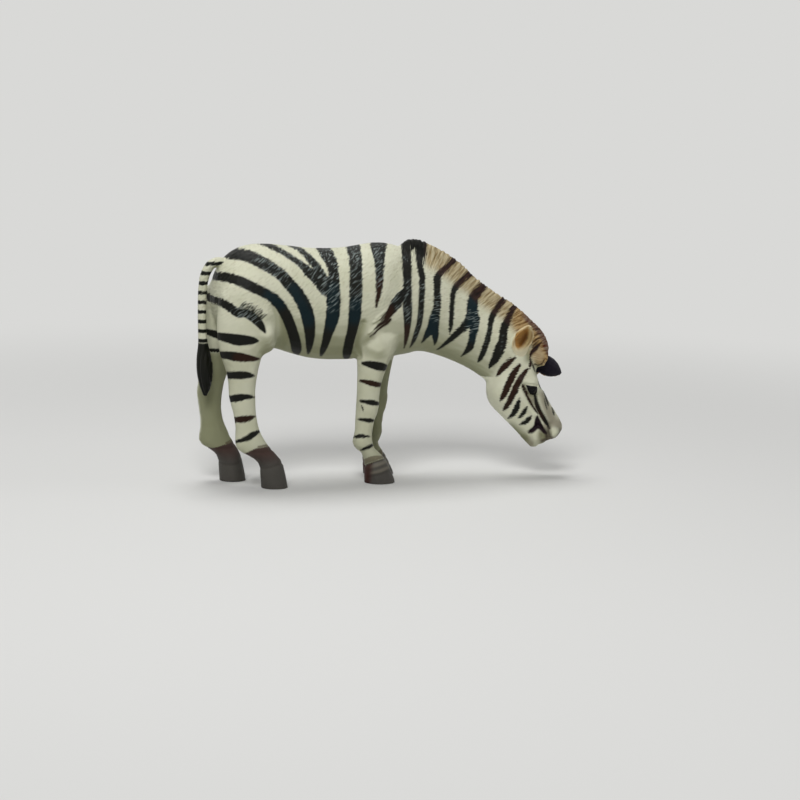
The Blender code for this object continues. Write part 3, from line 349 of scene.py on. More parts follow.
# Sculpted forms in the side view of either side: height in millimetres, above 0 for a ridge and below 0 for a
# groove, how softly it fades, and its strokes
SCULPTED = (
    # Shoulder, elbow and the fold ahead of the thigh
    (-1.2, 1.4, ((-11.2, 55, 0.1), (-12.2, 51.5, 0.2), (-12.9, 47.5, 0.3), (-13, 43.5, 0.3))),
    (1.1, 3.0, ((-8.8, 51, 0.8), (-8.2, 48.5, 1.2), (-5.6, 46.6, 0.8))),
    (-0.9, 2.6, ((-43, 61, 0.2), (-42, 56, 0.4), (-41.6, 50, 0.5))),
    (0.7, 3, ((-47.6, 58, 1), (-46.6, 53, 0.8))),
    (-0.45, 3, ((2.4, 77, 0.2), (0.5, 68, 0.4), (-0.5, 62, 0.2))),
    (0.4, 4, ((-2.5, 74, 1), (-4, 66, 1))),
    (0.4, 3.5, ((1.5, 58, 0.6), (0.5, 50, 0.6))),
    # Brow, eye, the crest of the cheek, and the line of the jaw
    (0.95, 1.4, ((49.4, 32.9, 0.3), (52, 33, 0.7), (54, 32.6, 0.4))),
    (-0.45, 1.7, ((54.6, 37.8, 0.1), (55.8, 35.4, 0.3), (57, 32.6, 0.3), (57.8, 30.6, 0.1))),
    (-0.7, 1.2, ((50.8, 30.6, 0.2), (52.4, 28.8, 0.6), (54.6, 28, 0.5))),
    (-0.5, 0.5, ((50.6, 31.75, 0.05), (53.2, 31.5, 0.06), (55.7, 31.1, 0.05))),
    (0.35, 0.6, ((51.1, 30.7, 0.05), (52, 29.3, 0.06), (53.1, 28.1, 0.06), (54.4, 27.6, 0.05),
     (55.8, 28.2, 0.05))),
    (-0.6, 0.7, ((49.9, 31.4, 0.1), (51.2, 28.6, 0.1), (52.7, 25.5, 0.1), (54.8, 22.9, 0.1))),
    (0.75, 1.5, ((48.8, 29.5, 0.2), (50.2, 26.6, 0.3), (52.4, 23.4, 0.3), (54.6, 20.8, 0.2))),
    (-0.3, 1.3, ((53.4, 27.4, 0.2), (54.6, 24.4, 0.2))),
    (-0.6, 0.9, ((55.2, 27.8, 0.1), (55.8, 24.4, 0.2), (57.4, 20.6, 0.2), (59.4, 17.2, 0.1))),
    (0.5, 1.3, ((56.8, 27, 0.3), (58.4, 22.6, 0.4), (60.6, 18.4, 0.3))),
    (0.35, 0.8, ((56.2, 20.8, 0.2), (57.8, 17.6, 0.2))),
    (0.6, 4, ((41.2, 33, 1.2), (42, 28, 0.8))),
    (-0.3, 1.5, ((38, 38.4, 0.2), (38.4, 35, 0.2), (39.2, 32, 0.2))),
    # Nostril, lips and chin
    (1.2, 1.3, ((62, 15, 0.4), (62.6, 14, 0.5), (62.3, 13.2, 0.3))),
    (-0.9, 0.8, ((60.8, 16.3, 0.1), (60.5, 14.8, 0.15), (61, 12.8, 0.15))),
    (-0.8, 0.8, ((56, 18.8, 0.1), (56.2, 16.8, 0.4))),
    (-0.9, 0.7, ((53, 14.1, 0.1), (54.6, 15.1, 0.15), (56.3, 16, 0.2), (58, 15, 0.15), (59.8, 13.2, 0.1),
     (60.8, 11.6, 0.1))),
    (1.0, 1.5, ((55, 13.2, 0.4), (55.8, 12.2, 0.6))),
    (-0.6, 1.3, ((57.2, 9.2, 0.2), (59.6, 10.2, 0.2))),
    (-0.35, 0.8, ((57.4, 14, 0.1), (57.9, 12.4, 0.1))),
    (0.4, 0.8, ((58.4, 16.8, 0.2), (59.8, 15.2, 0.2))),
    # The forelegs' knees, tendons and fetlocks, and the hooves
    (0.35, 1.6, ((-6.3, 26.5, 0.5), (-7, 23.5, 0.5))),
    (-0.25, 1.2, ((-11.6, 24, 0.3), (-12.4, 18, 0.3))),
    (-0.18, 1.0, ((-9.8, 22, 0.2), (-10.4, 16, 0.2))),
    (0.3, 1.4, ((-12.8, 13.6, 0.5), (-12.2, 12, 0.5))),
    (-0.2, 0.9, ((-11, 9.4, 0.1), (-8, 10.2, 0.1), (-5.4, 10.9, 0.1))),
    (-0.35, 0.5, *CORONETS),
    (-0.14, 0.6, *HOOF_RIDGES),
    # The hair that parts at the end of the shoulder stripe
    (0.26, 0.45, ((-3.4, 59.4, 0.1), (-6.4, 56.8, 0.1)), ((-5, 57, 0.1), (-7.4, 55.6, 0.1)),
     ((-6.6, 54.3, 0.1), (-9.6, 52.3, 0.1)), ((-2.4, 57.4, 0.05), (-4.6, 55.6, 0.05))),
)
FORELOCK_CURL = ((-0.5, 0.7, ((53, 41, 0.1), (53.3, 43, 0.2), (54.6, 44.5, 0.2), (56.6, 46, 0.1))),)
EAR_FOLDS = (
    (0.4, 0.8, ((51.7, 51.8, 0.2), (51.9, 49.4, 0.3), (51.2, 46.8, 0.3), (49.6, 44.8, 0.2))),
    (-0.45, 0.9, ((50.2, 50.4, 0.3), (50.1, 48.4, 0.4), (48.8, 46.2, 0.3))),
    (0.25, 0.5, ((46.4, 50.1, 0.05), (48.8, 51.5, 0.1), (51, 52.6, 0.1), (52.4, 52.2, 0.1),
     (53.3, 50.6, 0.05))),
    (-0.25, 0.4, *EAR_FOLD),
)
# How far the eye, the mane's strands and crest, the same at the poll, the forelock's lobe, the tuft's strands
# and the clumps of hair on the body stand out, and the angle of those clumps
EYE_HEIGHT = 0.8
STRAND_HEIGHT = 0.17
CREST_HEIGHT = 0.2
POLL_STRAND_HEIGHT = 0.12
POLL_CREST_HEIGHT = 0.06
LOBE_HEIGHT = 0.5
TUFT_HEIGHT = 0.28
CLUMP_HEIGHT = 0.05
CLUMP_ANGLE = 0.7
# Where the tail's tuft starts, and how deep the relief finer than the mesh is
TUFT_TOP = 50
FINE_RELIEF = 0.16


def placed(name, data):
    """A new object in the scene, at the origin."""
    obj = bpy.data.objects.new(name, data)
    bpy.context.scene.collection.objects.link(obj)
    return obj


# Shapes in the side view

def drawn(points, steps=5, thinnest=THINNEST):
    """The stroke's rows with more rows between them on a smooth line."""
    p = np.array(points, float)
    if len(p) < 3:
        return p
    p = np.vstack([2 * p[0] - p[1], p, 2 * p[-1] - p[-2]])
    t = np.linspace(0, 1, steps, endpoint=False)[:, None]
    rows = []
    for a, b, c, d in zip(p, p[1:], p[2:], p[3:]):
        square = 2 * a - 5 * b + 4 * c - d
        cube = 3 * b - a - 3 * c + d
        rows.append((2 * b + (c - a) * t + square * t ** 2 + cube * t ** 3) / 2)
    line = np.vstack(rows + [p[-2:-1]])
    line[:, 2] = np.maximum(line[:, 2], thinnest)
    return line


def in_strokes(strokes, spots, far=FAR):
    """How deep in millimetres each spot lies inside the nearest stroke; less than 0 outside."""
    depth = np.full(len(spots), -far)
    for stroke in strokes:
        line = drawn(stroke)
        low = line[:, :2].min(axis=0) - far - STROKE_ROOM
        high = line[:, :2].max(axis=0) + far + STROKE_ROOM
        near = np.flatnonzero(((spots > low) & (spots < high)).all(axis=1))
        p = spots[near]
        best = depth[near]
        for a, b in zip(line, line[1:]):
            run = b[:2] - a[:2]
            t = np.clip(((p - a[:2]) @ run) / max(run @ run, 1e-9), 0, 1)
            reach = a[2] + t * (b[2] - a[2])
            best = np.maximum(best, reach - np.hypot(*(p - a[:2] - t[:, None] * run).T))
        depth[near] = best
    return depth


def in_area(corners, spots):
    """How deep in millimetres each spot lies inside a closed outline; less than 0 outside."""
    c = np.array(corners, float)
    away = np.full(len(spots), 1e9)
    inside = np.zeros(len(spots), bool)
    for a, b in zip(c, np.roll(c, -1, axis=0)):
        run = b - a
        t = np.clip(((spots - a) @ run) / (run @ run), 0, 1)
        away = np.minimum(away, np.hypot(*(spots - a - t[:, None] * run).T))
        crosses = (a[1] > spots[:, 1]) != (b[1] > spots[:, 1])
        at = a[0] + (spots[:, 1] - a[1]) * run[0] / (run[1] if run[1] else 1e-9)
        inside ^= crosses & (spots[:, 0] < at)
    return np.where(inside, away, -away)


def eased(value, low, high):
    """0 at low, 1 at high, and an even curve between."""
    t = np.clip((value - low) / (high - low), 0, 1)
    return t * t * (3 - 2 * t)


# The neck's bend, and the side view of either side

def straightened(p):
    """Points of the bent figure as along, across and up in the straight one."""
    x, y = p[:, 0] - BEND_START, p[:, 1] + BEND_RADIUS
    angle = np.arctan2(x, y)
    in_bend = (angle > 0) & (angle < BEND_ANGLE)
    past = angle >= BEND_ANGLE
    s, c = math.sin(BEND_ANGLE), math.cos(BEND_ANGLE)
    ex, ey = p[:, 0] - BEND_START - BEND_RADIUS * s, p[:, 1] + BEND_RADIUS * (1 - c)
    along = np.where(past, BEND_RUN + ex * c - ey * s, np.where(in_bend, BEND_RADIUS * angle, x))
    across = np.where(past, ex * s + ey * c, np.where(in_bend, np.hypot(x, y) - BEND_RADIUS, p[:, 1]))
    return np.column_stack([along, across, p[:, 2]])


def bent(q):
    """The way back from straightened."""
    angle = BEND_ANGLE * np.clip(q[:, 0] / BEND_RUN, 0, 1)
    rest = np.where(q[:, 0] > BEND_RUN, q[:, 0] - BEND_RUN, np.minimum(q[:, 0], 0))
    s, c = np.sin(angle), np.cos(angle)
    x = BEND_START + BEND_RADIUS * s + rest * c + q[:, 1] * s
    y = -BEND_RADIUS * (1 - c) - rest * s + q[:, 1] * c
    return np.column_stack([x, y, q[:, 2]])


def side_view(p):
    """Where the eye's line through each point meets the middle plane; the left side is read as the right."""
    q = straightened(p)
    q[:, 1] = -np.abs(q[:, 1])
    q = bent(q)
    share = -EYE[1] / (q[:, 1] - EYE[1])
    seen = EYE + share[:, None] * (q - EYE)
    return seen[:, [0, 2]]


# Skin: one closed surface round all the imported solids

def merged_solids(names):
    """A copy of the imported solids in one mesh, each with its doubled points merged."""
    work = bmesh.new()
    for name in names:
        work.from_mesh(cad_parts[name].data)
    bmesh.ops.remove_doubles(work, verts=work.verts, dist=MERGED_WITHIN * MM)
    mesh = bpy.data.meshes.new("merged_solids")
    work.to_mesh(mesh)
    work.free()
    return mesh


def points_of(mesh):
    """A mesh's points in the design's millimetres."""
    points = np.empty(len(mesh.vertices) * 3, np.float32)
    mesh.vertices.foreach_get("co", points)
    return points.reshape(-1, 3).astype(float) / MM - SHIFT


def closed_skin(names, cell, swell):
    """The solids swelled until their glue gaps close, made one surface of even cells, and drawn back in."""
    obj = placed("skin_work", merged_solids(names))
    for kind, amount in (("DISPLACE", swell), ("REMESH", cell), ("DISPLACE", -swell)):
        step = obj.modifiers.new(kind.lower(), kind)
        if kind == "REMESH":
            step.mode = "VOXEL"
            step.voxel_size = amount * MM
        else:
            step.mid_level = 0
            step.strength = amount * MM
    mesh = bpy.data.meshes.new_from_object(obj.evaluated_get(bpy.context.evaluated_depsgraph_get()))
    faces = np.empty(len(mesh.loops), np.int32)
    mesh.loops.foreach_get("vertex_index", faces)
    bpy.data.objects.remove(obj)
    return outer_shell(points_of(mesh), faces.reshape(-1, 4))


def edges_of(faces):
    """Each edge of the faces once, as the numbers of its two points."""
    pairs = np.sort(np.vstack([faces[:, [i, (i + 1) % 4]] for i in range(4)]), axis=1)
    return np.unique(pairs, axis=0)


def outer_shell(verts, faces):
    """Only the largest connected surface."""
    edges = edges_of(faces)
    label = np.arange(len(verts))
    while True:
        low = np.minimum(label[edges[:, 0]], label[edges[:, 1]])
        new = label.copy()
        np.minimum.at(new, edges[:, 0], low)
        np.minimum.at(new, edges[:, 1], low)
        new = new[new]
        if (new == label).all():
            break
        label = new
    keep = label == np.bincount(label).argmax()
    number = np.cumsum(keep) - 1
    return verts[keep], number[faces[keep[faces[:, 0]]]]


def pulled(verts, edges, share):
    """Every point moved by its share of the way to the middle of its neighbours."""
    count = np.bincount(edges.ravel(), minlength=len(verts))[:, None]
    total = np.column_stack([
        np.bincount(edges[:, 0], verts[edges[:, 1], k], len(verts))
        + np.bincount(edges[:, 1], verts[edges[:, 0], k], len(verts)) for k in range(3)])
    return verts + share[:, None] * (total / count - verts)


def faired(verts, edges, softness, rounds):
    """Facets and seams smoothed out without the form shrinking."""
    for _ in range(rounds):
        verts = pulled(verts, edges, SMOOTHING_IN * softness)
        verts = pulled(verts, edges, -SMOOTHING_OUT * softness)
    return verts


def normals_of(verts, faces):
    """The outward direction at each point."""
    a, b, c, d = (verts[faces[:, i]] for i in range(4))
    face_normal = np.cross(c - a, d - b)
    out = np.zeros_like(verts)
    for i in range(4):
        for k in range(3):
            out[:, k] += np.bincount(faces[:, i], face_normal[:, k], len(verts))
    return out / np.maximum(np.linalg.norm(out, axis=1), 1e-9)[:, None]


def nearest_nodes(verts, faces):
    """For each face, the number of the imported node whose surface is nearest."""
    centres = verts[faces].mean(axis=1)
    best = np.full(len(centres), 1e9)
    owner = np.zeros(len(centres), int)
    for k, name in enumerate(NAMES):
        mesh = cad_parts[name].data
        points = points_of(mesh)
        tree = BVHTree.FromPolygons(points.tolist(), [tuple(f.vertices) for f in mesh.polygons])
        near = ((centres > points.min(axis=0) - 1) & (centres < points.max(axis=0) + 1)).all(axis=1)
        for i in np.flatnonzero(near):
            away = tree.find_nearest(centres[i])[3]
            if away is not None and away < best[i]:
                best[i], owner[i] = away, k
    return owner


verts, faces = closed_skin(NAMES, SKIN_CELL, JOINT_SWELL)
owner = nearest_nodes(verts, faces)
vert_owner = np.zeros(len(verts), int)
for corner in range(4):
    vert_owner[faces[:, corner]] = owner
on = {name: vert_owner == k for k, name in enumerate(NAMES)}
ears = on["right_ear"] | on["left_ear"]
not_ear = 1.0 - ears
on_leg = np.any([on[name] for name in LEGS], axis=0)
verts = faired(verts, edges_of(faces), np.where(ears, EAR_SMOOTHING_SHARE, 1.0), SMOOTHING_ROUNDS)


# Where each point lies in the side view. The left legs are read as if they stood where the right ones do

def leg_line(mask, z):
    """The middle x of a leg at each height."""
    low, high = verts[mask, 2].min(), verts[mask, 2].max()
    steps = np.arange(low, high, 1.0)
    slices = [verts[mask & (np.abs(verts[:, 2] - s) < 1), 0] for s in steps]
    return np.interp(z, steps, [(x.min() + x.max()) / 2 for x in slices])


view = side_view(verts)
z = verts[:, 2]
for end in ("front", "hind"):
    right_middle = leg_line(on[end + "_right_leg"], z)
    left_middle = leg_line(on[end + "_left_leg"], z)
    beside = np.abs(verts[:, 0] - left_middle) < LEG_REACH
    moved = on[end + "_left_leg"] | (on["torso"] & (verts[:, 1] > 0) & (z < LEG_TOP) & beside)
    view[moved, 0] += ((right_middle - left_middle) * eased(z, LEG_TOP, LEG_CLEAR))[moved]
seen_x, seen_z = view.T
out = normals_of(verts, faces)
along, across = straightened(verts)[:, :2].T


# Relief: sculpted forms, strands and clumps of hair, as heights in millimetres along the normal

def sculpted(rows):
    """The height that ridges and grooves give each point. Each fades out over about twice its softness."""
    height = np.zeros(len(view))
    for top, softness, *strokes in rows:
        away = np.maximum(-in_strokes(strokes, view, 2.4 * softness + 1), 0)
        height += top * np.exp(-1.6 * (away / softness) ** 2)
    return height


def mane_strands(spots):
    """How far along the mane each spot's strand is rooted, and how far out along its strand the spot lies."""
    roots = drawn(MANE_ROOTS, steps=8, thinnest=-180)
    slope = np.radians(roots[:, 2])
    down_the_mane = np.concatenate([[0], np.cumsum(np.hypot(*np.diff(roots[:, :2], axis=0).T))])
    away = spots[:, None] - roots[:, :2]
    side = away[..., 0] * np.sin(slope) - away[..., 1] * np.cos(slope)
    ahead = away[..., 0] * np.cos(slope) + away[..., 1] * np.sin(slope)
    between = (side[:, :-1] >= 0) & (side[:, 1:] < 0) & (ahead[:, :-1] > -5)
    first = np.where(between.any(axis=1), between.argmax(axis=1), np.abs(side[:, :-1]).argmin(axis=1))
    each = np.arange(len(spots))
    gap = side[each, first] - side[each, first + 1]
    share = np.clip(side[each, first] / np.where(np.abs(gap) < 1e-6, 1e-6, gap), 0, 1)
    rooted = down_the_mane[first] + share * (down_the_mane[first + 1] - down_the_mane[first])
    return rooted, ahead[each, first] * (1 - share) + ahead[each, first + 1] * share


def waves(s, t, seed):
    """Uneven waves across the strands that drift a little along them, from -1 to 1."""
    return (np.sin(s * 5.1 + 0.35 * t + seed) + 0.8 * np.sin(s * 7.7 - 0.5 * t + 2.1 * seed)
            + 0.7 * np.sin(s * 3.3 + 0.9 * np.sin(t * 0.8 + seed) + 3.7 * seed)) / 2.5


relief = sculpted(SCULPTED) + EYE_HEIGHT * eased(in_area(EYE_SHAPE, view), -0.3, 1.2)
relief *= not_ear
relief += sculpted(EAR_FOLDS) * on["right_ear"]

# The mane's strands, its crest, the forelock's lobe and the withers' dark top
mane_depth = in_area(MANE_AREA, view)
mane_paint = eased(mane_depth, -0.9, 0.9) * not_ear
hairy = np.flatnonzero(mane_depth > -FAR)
strand, strand_out = np.zeros(len(verts)), np.zeros(len(verts))
strand[hairy], strand_out[hairy] = mane_strands(view[hairy])
withers = eased(seen_x, 12.6, 10.4)
lobe = eased(in_strokes(FORELOCK_LOBE, view), -0.8, 0.8) * not_ear
crest = eased(np.abs(across), 3.2, 0.6) * mane_paint
poll = eased(in_area(POLL_AREA, view), -1.5, 1.5) * mane_paint
wave = waves(0.9 * strand, strand_out, 1.3) * (1 - 0.7 * lobe)
strand_height = STRAND_HEIGHT + (POLL_STRAND_HEIGHT - STRAND_HEIGHT) * poll
crest_height = CREST_HEIGHT + (POLL_CREST_HEIGHT - CREST_HEIGHT) * poll
relief += strand_height * wave * mane_paint
relief += crest_height * waves(0.7 * strand, 0.2 * strand_out, 4.0) * crest
relief += LOBE_HEIGHT * lobe + sculpted(FORELOCK_CURL)

# How far each point of the mane is from the ends of its strands
ends = np.full(MANE_LENGTH, -9.0)
np.maximum.at(ends, np.clip(strand[hairy].astype(int), 0, MANE_LENGTH - 1), strand_out[hairy])
ends = np.convolve(np.pad(ends, 1, mode="edge"), (0.25, 0.5, 0.25), mode="valid")
from_end = np.interp(strand, np.arange(MANE_LENGTH) + 0.5, ends) - strand_out

# The tail's tuft, and clumps of hair that end along the upper body
round_the_tail = np.arctan2(verts[:, 1], verts[:, 0] - TAIL_MIDDLE)
tuft = on["tail"] * eased(z, TUFT_TOP + 2, TUFT_TOP - 6)
relief += TUFT_HEIGHT * tuft * waves(3 * round_the_tail, 0.3 * z, 0.7)
slant = view @ np.array([math.cos(CLUMP_ANGLE), math.sin(CLUMP_ANGLE)])
over = view @ np.array([-math.sin(CLUMP_ANGLE), math.cos(CLUMP_ANGLE)])
clumps = np.sin(over * 4.3 + 1.5 * np.sin(slant * 1.1)) * np.sin(slant * 1.9 + 1.2 * np.sin(over * 0.9))
relief += CLUMP_HEIGHT * eased(z, 55, 66) * (1 - mane_paint) * eased(seen_x, 50, 40) * clumps

verts = verts + out * relief[:, None]
verts[:, 2] = np.maximum(verts[:, 2], z.min())
out = normals_of(verts, faces)


# Paint, one value per point

def brushed(strokes, low, high):
    """How much paint the strokes leave on each point: none at low millimetres inside them, all at high."""
    return eased(in_strokes(strokes, view), low, high)


stripe = in_strokes(BODY_STRIPES + LASHES + HEAD_STRIPES + MOUTH + LEG_STRIPES, view)
stripe[ears] = -FAR

# Dark rings down the tail's dock, and a dark tuft
dock = 0.9 * np.sin((z - 60) * 1.9) - 0.35
stripe[on["tail"]] = np.maximum(dock, (TUFT_TOP - z) * 0.8)[on["tail"]]

# Painted olive shade in the hollows, on the underside, in the grooves, and low on the body and legs
shade = np.maximum.reduce([
    brushed(HOLLOWS, -2.6, 0.9),
    0.95 * eased(out[:, 2], 0.2, -0.7) * (z > LEG_CLEAR),
    0.6 * eased(relief, -0.15, -0.8) * (1 - mane_paint) * not_ear,
    0.26 * eased(z, 56, 38) * (seen_x < 12) + 0.3 * eased(z, 20, 9)])

# The legs' inner sides have no stripes and get painted shade
for name in LEGS:
    right = "right" in name
    outward = -out[:, 1] if right else out[:, 1]
    inner = eased(outward, -0.15, -0.5) if right else eased(outward, 0.45, 0.1)
    leg = on[name] | (on["torso"] & (z < LEG_TOP) & ((verts[:, 1] < 0) == right))
    stripe[leg] -= (3 * inner)[leg]
    shade[leg] = np.maximum(shade, eased(outward, 0.2, -0.5) * eased(z, 52, 44))[leg]

# Where the hair stands up and feathers the stripes: on the back, up the neck, on the cheek, a little on the
# legs, and most in the mane
back = eased(seen_z, 56, 64) * eased(seen_x, 40, 34) * (z > 45)
up_the_neck = eased(seen_z + 0.55 * (seen_x - 10), 53, 60) * eased(seen_x, 9, 15) * eased(seen_x, 49, 45)
upper = np.maximum(back, 0.85 * up_the_neck)
cheek = eased(seen_x, 37, 40) * eased(seen_x, 54.4, 51.5) * eased(seen_z, 46, 43) * (1 - mane_paint)
coat_feather = 0.5 + 1.3 * upper + 0.7 * (cheek + 0.5 * on_leg)
mane_feather = 4.6 - 3.4 * poll

# The cup of the near ear, open to the viewer, and of the far ear, where the surface faces the cup's rim
near_cup = eased(in_area(EAR_HOLLOW, view), -0.7, 0.8) * (out @ RIGHT_EAR_OPENS > -0.3)
far_ear = verts[on["left_ear"]].mean(axis=0)
faces_rim = ((far_ear + 1.6 * LEFT_EAR_OPENS - verts) * out).sum(axis=1)
far_cup = eased(faces_rim, 0.3, 0.9) * eased((verts - far_ear) @ LEFT_EAR_RUNS, -4.2, -3.0)
cup = on["right_ear"] * near_cup + on["left_ear"] * far_cup

# Depth below the line where hair meets hoof, and the hooves' finer paint
fore = seen_x > MID_BODY
hind_line = 12.3 + np.where(seen_x > -50, 0.12, 0.42) * (seen_x + 50)
hoof = np.where(fore, 4.8 + 0.29 * (seen_x + 9), hind_line) - seen_z
heel = np.where(fore, eased(-7.4 - seen_x + 0.1 * seen_z, -1.2, 1.4), 0.8 * eased(seen_z, 5, 11.5))
pastern = np.maximum(brushed(FORE_PASTERN, -0.6, 0.6), brushed(HIND_PASTERN, -0.9, 0.3))
bands = np.maximum(brushed(CORONETS, -0.5, 0.1), 0.35 * brushed(HOOF_RIDGES, -0.7, 0.1))

LAYERS = {
    # Depth in millimetres inside the stripes, the eye and the hoof, and how ragged the stripes' edges are
    "stripe": stripe,
    "eye": in_area(EYE_SHAPE, view) * not_ear - 3 * ears,
    "hoof": np.where(on_leg, hoof, -FAR),
    "feather": coat_feather + mane_paint * (mane_feather - coat_feather),
    # Kinds of hair, and the strands of the mane
    "upper": upper,
    "neck": eased(along, -4, 6) * (1 - mane_paint),
    "mane": mane_paint,
    "poll": poll,
    "wave": 0.45 * wave,
    "strand": strand / STRAND_WIDTH,
    "strand_out": strand_out / STRAND_LENGTH,
    # How much of each colour covers what is under it
    "tan": eased(mane_depth, -1.9, 2.4) * not_ear * (1 - withers),
    "lobe": 0.7 * lobe,
    "crest": 0.95 * eased(from_end, 2.9, 1.3) * poll * eased(seen_x, 47, 51),
    "brown": 0.75 * brushed(BROWN, -1.2, 1.0),
    "teal": brushed(TEAL, -2, 1.2),
    "reddish": mane_paint * (1 - withers),
    "hair_highlight": brushed(HAIR_HIGHLIGHT_STROKES, -1.5, 0.8) * (1 - mane_paint),
    "grey_and_shade": 0.8 * brushed(GREY_AND_SHADE, -2.0, 0.6) * not_ear,
    "shade": 0.85 * shade,
    "nostril_dark_and_shade": 0.85 * brushed(NOSTRIL_DARK_AND_SHADE, -1.3, 0.4) * not_ear,
    "mouth": brushed(MOUTH, -0.6, 0.3),
    "pastern": pastern * on_leg,
    "heel": 0.85 * heel * on_leg,
    "bands": 0.7 * bands * on_leg,
    "hoof_arc_highlight": 0.4 * brushed(HOOF_ARC_HIGHLIGHTS, -0.6, 0.2) * on_leg,
    "ear": 1.0 * ears,
    "left_ear": 1.0 * on["left_ear"],
    "ear_cup": cup,
    "ear_deep": brushed(EAR_DEPTH, -2.4, 0.3),
    "ear_rim_highlight": 0.75 * eased(in_area(EAR_OUTLINE, view), 0.65, 0.2) * on["right_ear"],
    "ear_fold": 0.6 * brushed(EAR_FOLD, -0.4, 0.1) * on["right_ear"],
    "ear_low": eased(seen_z, 46.5, 43) * on["right_ear"] * (0.85 - cup),
}


# Pieces

def piece_of(name):
    """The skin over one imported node, with the whole skin's normals so that no border shows."""
    own = owner == NAMES.index(name)
    used = np.unique(faces[own])
    number = np.zeros(len(verts), int)
    number[used] = np.arange(len(used))
    mesh = bpy.data.meshes.new(name + "_skin")
    mesh.from_pydata(((verts[used] + SHIFT) * MM).tolist(), [], number[faces[own]].tolist())
    for layer, values in LAYERS.items():
        attribute = mesh.attributes.new(layer, "FLOAT", "POINT")
        attribute.data.foreach_set("value", values[used].astype(np.float32))
    mesh.shade_smooth()
    mesh.normals_split_custom_set_from_vertices(out[used].tolist())
    obj = placed(name + "_skin", mesh)
    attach(obj, "root")
    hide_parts(name)
    return obj


# Materials

# The nodes that the materials use: the kind, the sockets that take values, the one that gives the result,
# and the settings
NODES = {
    "layer": ("Attribute", (), "Fac", {}),
    "object place": ("TexCoord", (), "Object", {}),
    "turned": ("Mapping", (0, 2, 3), 0, {"vector_type": "TEXTURE"}),
    "joined": ("CombineXYZ", (0, 1, 2), 0, {}),
    "stretched": ("VectorMath", (0, 1), 0, {"operation": "MULTIPLY"}),
    "length": ("VectorMath", (0,), "Value", {"operation": "LENGTH"}),
    "noise": ("TexNoise", ("Vector", "Scale", "Detail", "Roughness"), "Fac", {}),
    "plus": ("Math", (0, 1), 0, {"operation": "ADD"}),
    "times": ("Math", (0, 1), 0, {"operation": "MULTIPLY"}),
    "times plus": ("Math", (0, 1, 2), 0, {"operation": "MULTIPLY_ADD"}),
    "most": ("Math", (0, 1), 0, {"operation": "MAXIMUM"}),
    "eased": ("MapRange", (0, 1, 2, 4), 0, {"interpolation_type": "SMOOTHSTEP"}),
    "between": ("Mix", (0, 2, 3), 0, {"data_type": "FLOAT"}),
    "cover": ("Mix", (0, 6, 7), 2, {"data_type": "RGBA"}),
    "bump": ("Bump", ("Strength", "Distance", "Height"), 0, {}),
    "paint": ("BsdfPrincipled", ("Base Color", "Roughness", "Specular IOR Level", "Normal"), 0, {}),
    "matt": ("BsdfDiffuse", (0,), 0, {}),
    "glow": ("Emission", (0,), 0, {}),
    "cover surface": ("MixShader", (0, 1, 2), 0, {}),
    "surface": ("OutputMaterial", (0,), None, {}),
    "camera ray": ("LightPath", (), "Is Camera Ray", {}),
    "gloss ray": ("LightPath", (), "Is Glossy Ray", {}),
    "glass ray": ("LightPath", (), "Is Transmission Ray", {}),
    "background": ("Background", (0, 1), 0, {}),
    "world": ("OutputWorld", (0,), None, {}),
}

# The colour that each of these layers lays over what is under it
COVERS = {
    "grey_and_shade": "#827a68", "shade": "#787a58", "nostril_dark_and_shade": "#43382b", "lobe": "#ab9673", "crest": "#4c1507",
    "teal": "#0a1d22", "brown": "#2c160a", "ear_fold": "#80603a", "ear_rim_highlight": "#dccca6", "ear_low": "#cfcaaf",
    "mouth": "#20141a", "hoof_arc_highlight": "#8b8573", "heel": "#3a1510", "bands": "#2b241b",
}


def rgb(code):
    """A hex colour as linear values."""
    parts = [int(code[i:i + 2], 16) / 255 for i in (1, 3, 5)]
    return tuple(c / 12.92 if c <= 0.04045 else ((c + 0.055) / 1.055) ** 2.4 for c in parts) + (1,)


def add(tree, name, *values, **settings):
    """Adds one of NODES with its settings and links, and returns what it gives.
    A value is a number, some numbers, a hex colour or what another node gives."""
    kind, sockets, result, usual = NODES[name]
    new = tree.nodes.new("ShaderNode" + kind)
    for key, value in {**usual, **settings}.items():
        setattr(new, key, value)
    for socket, value in zip(sockets, values):
        if isinstance(value, bpy.types.NodeSocket):
            tree.links.new(value, new.inputs[socket])
        else:
            new.inputs[socket].default_value = rgb(value) if isinstance(value, str) else value
    return None if result is None else new.outputs[result]


def node_adder(holder):
    """Empties a material's or world's nodes, and returns the call that adds one."""
    holder.use_nodes = True
    holder.node_tree.nodes.clear()
    return partial(add, holder.node_tree)


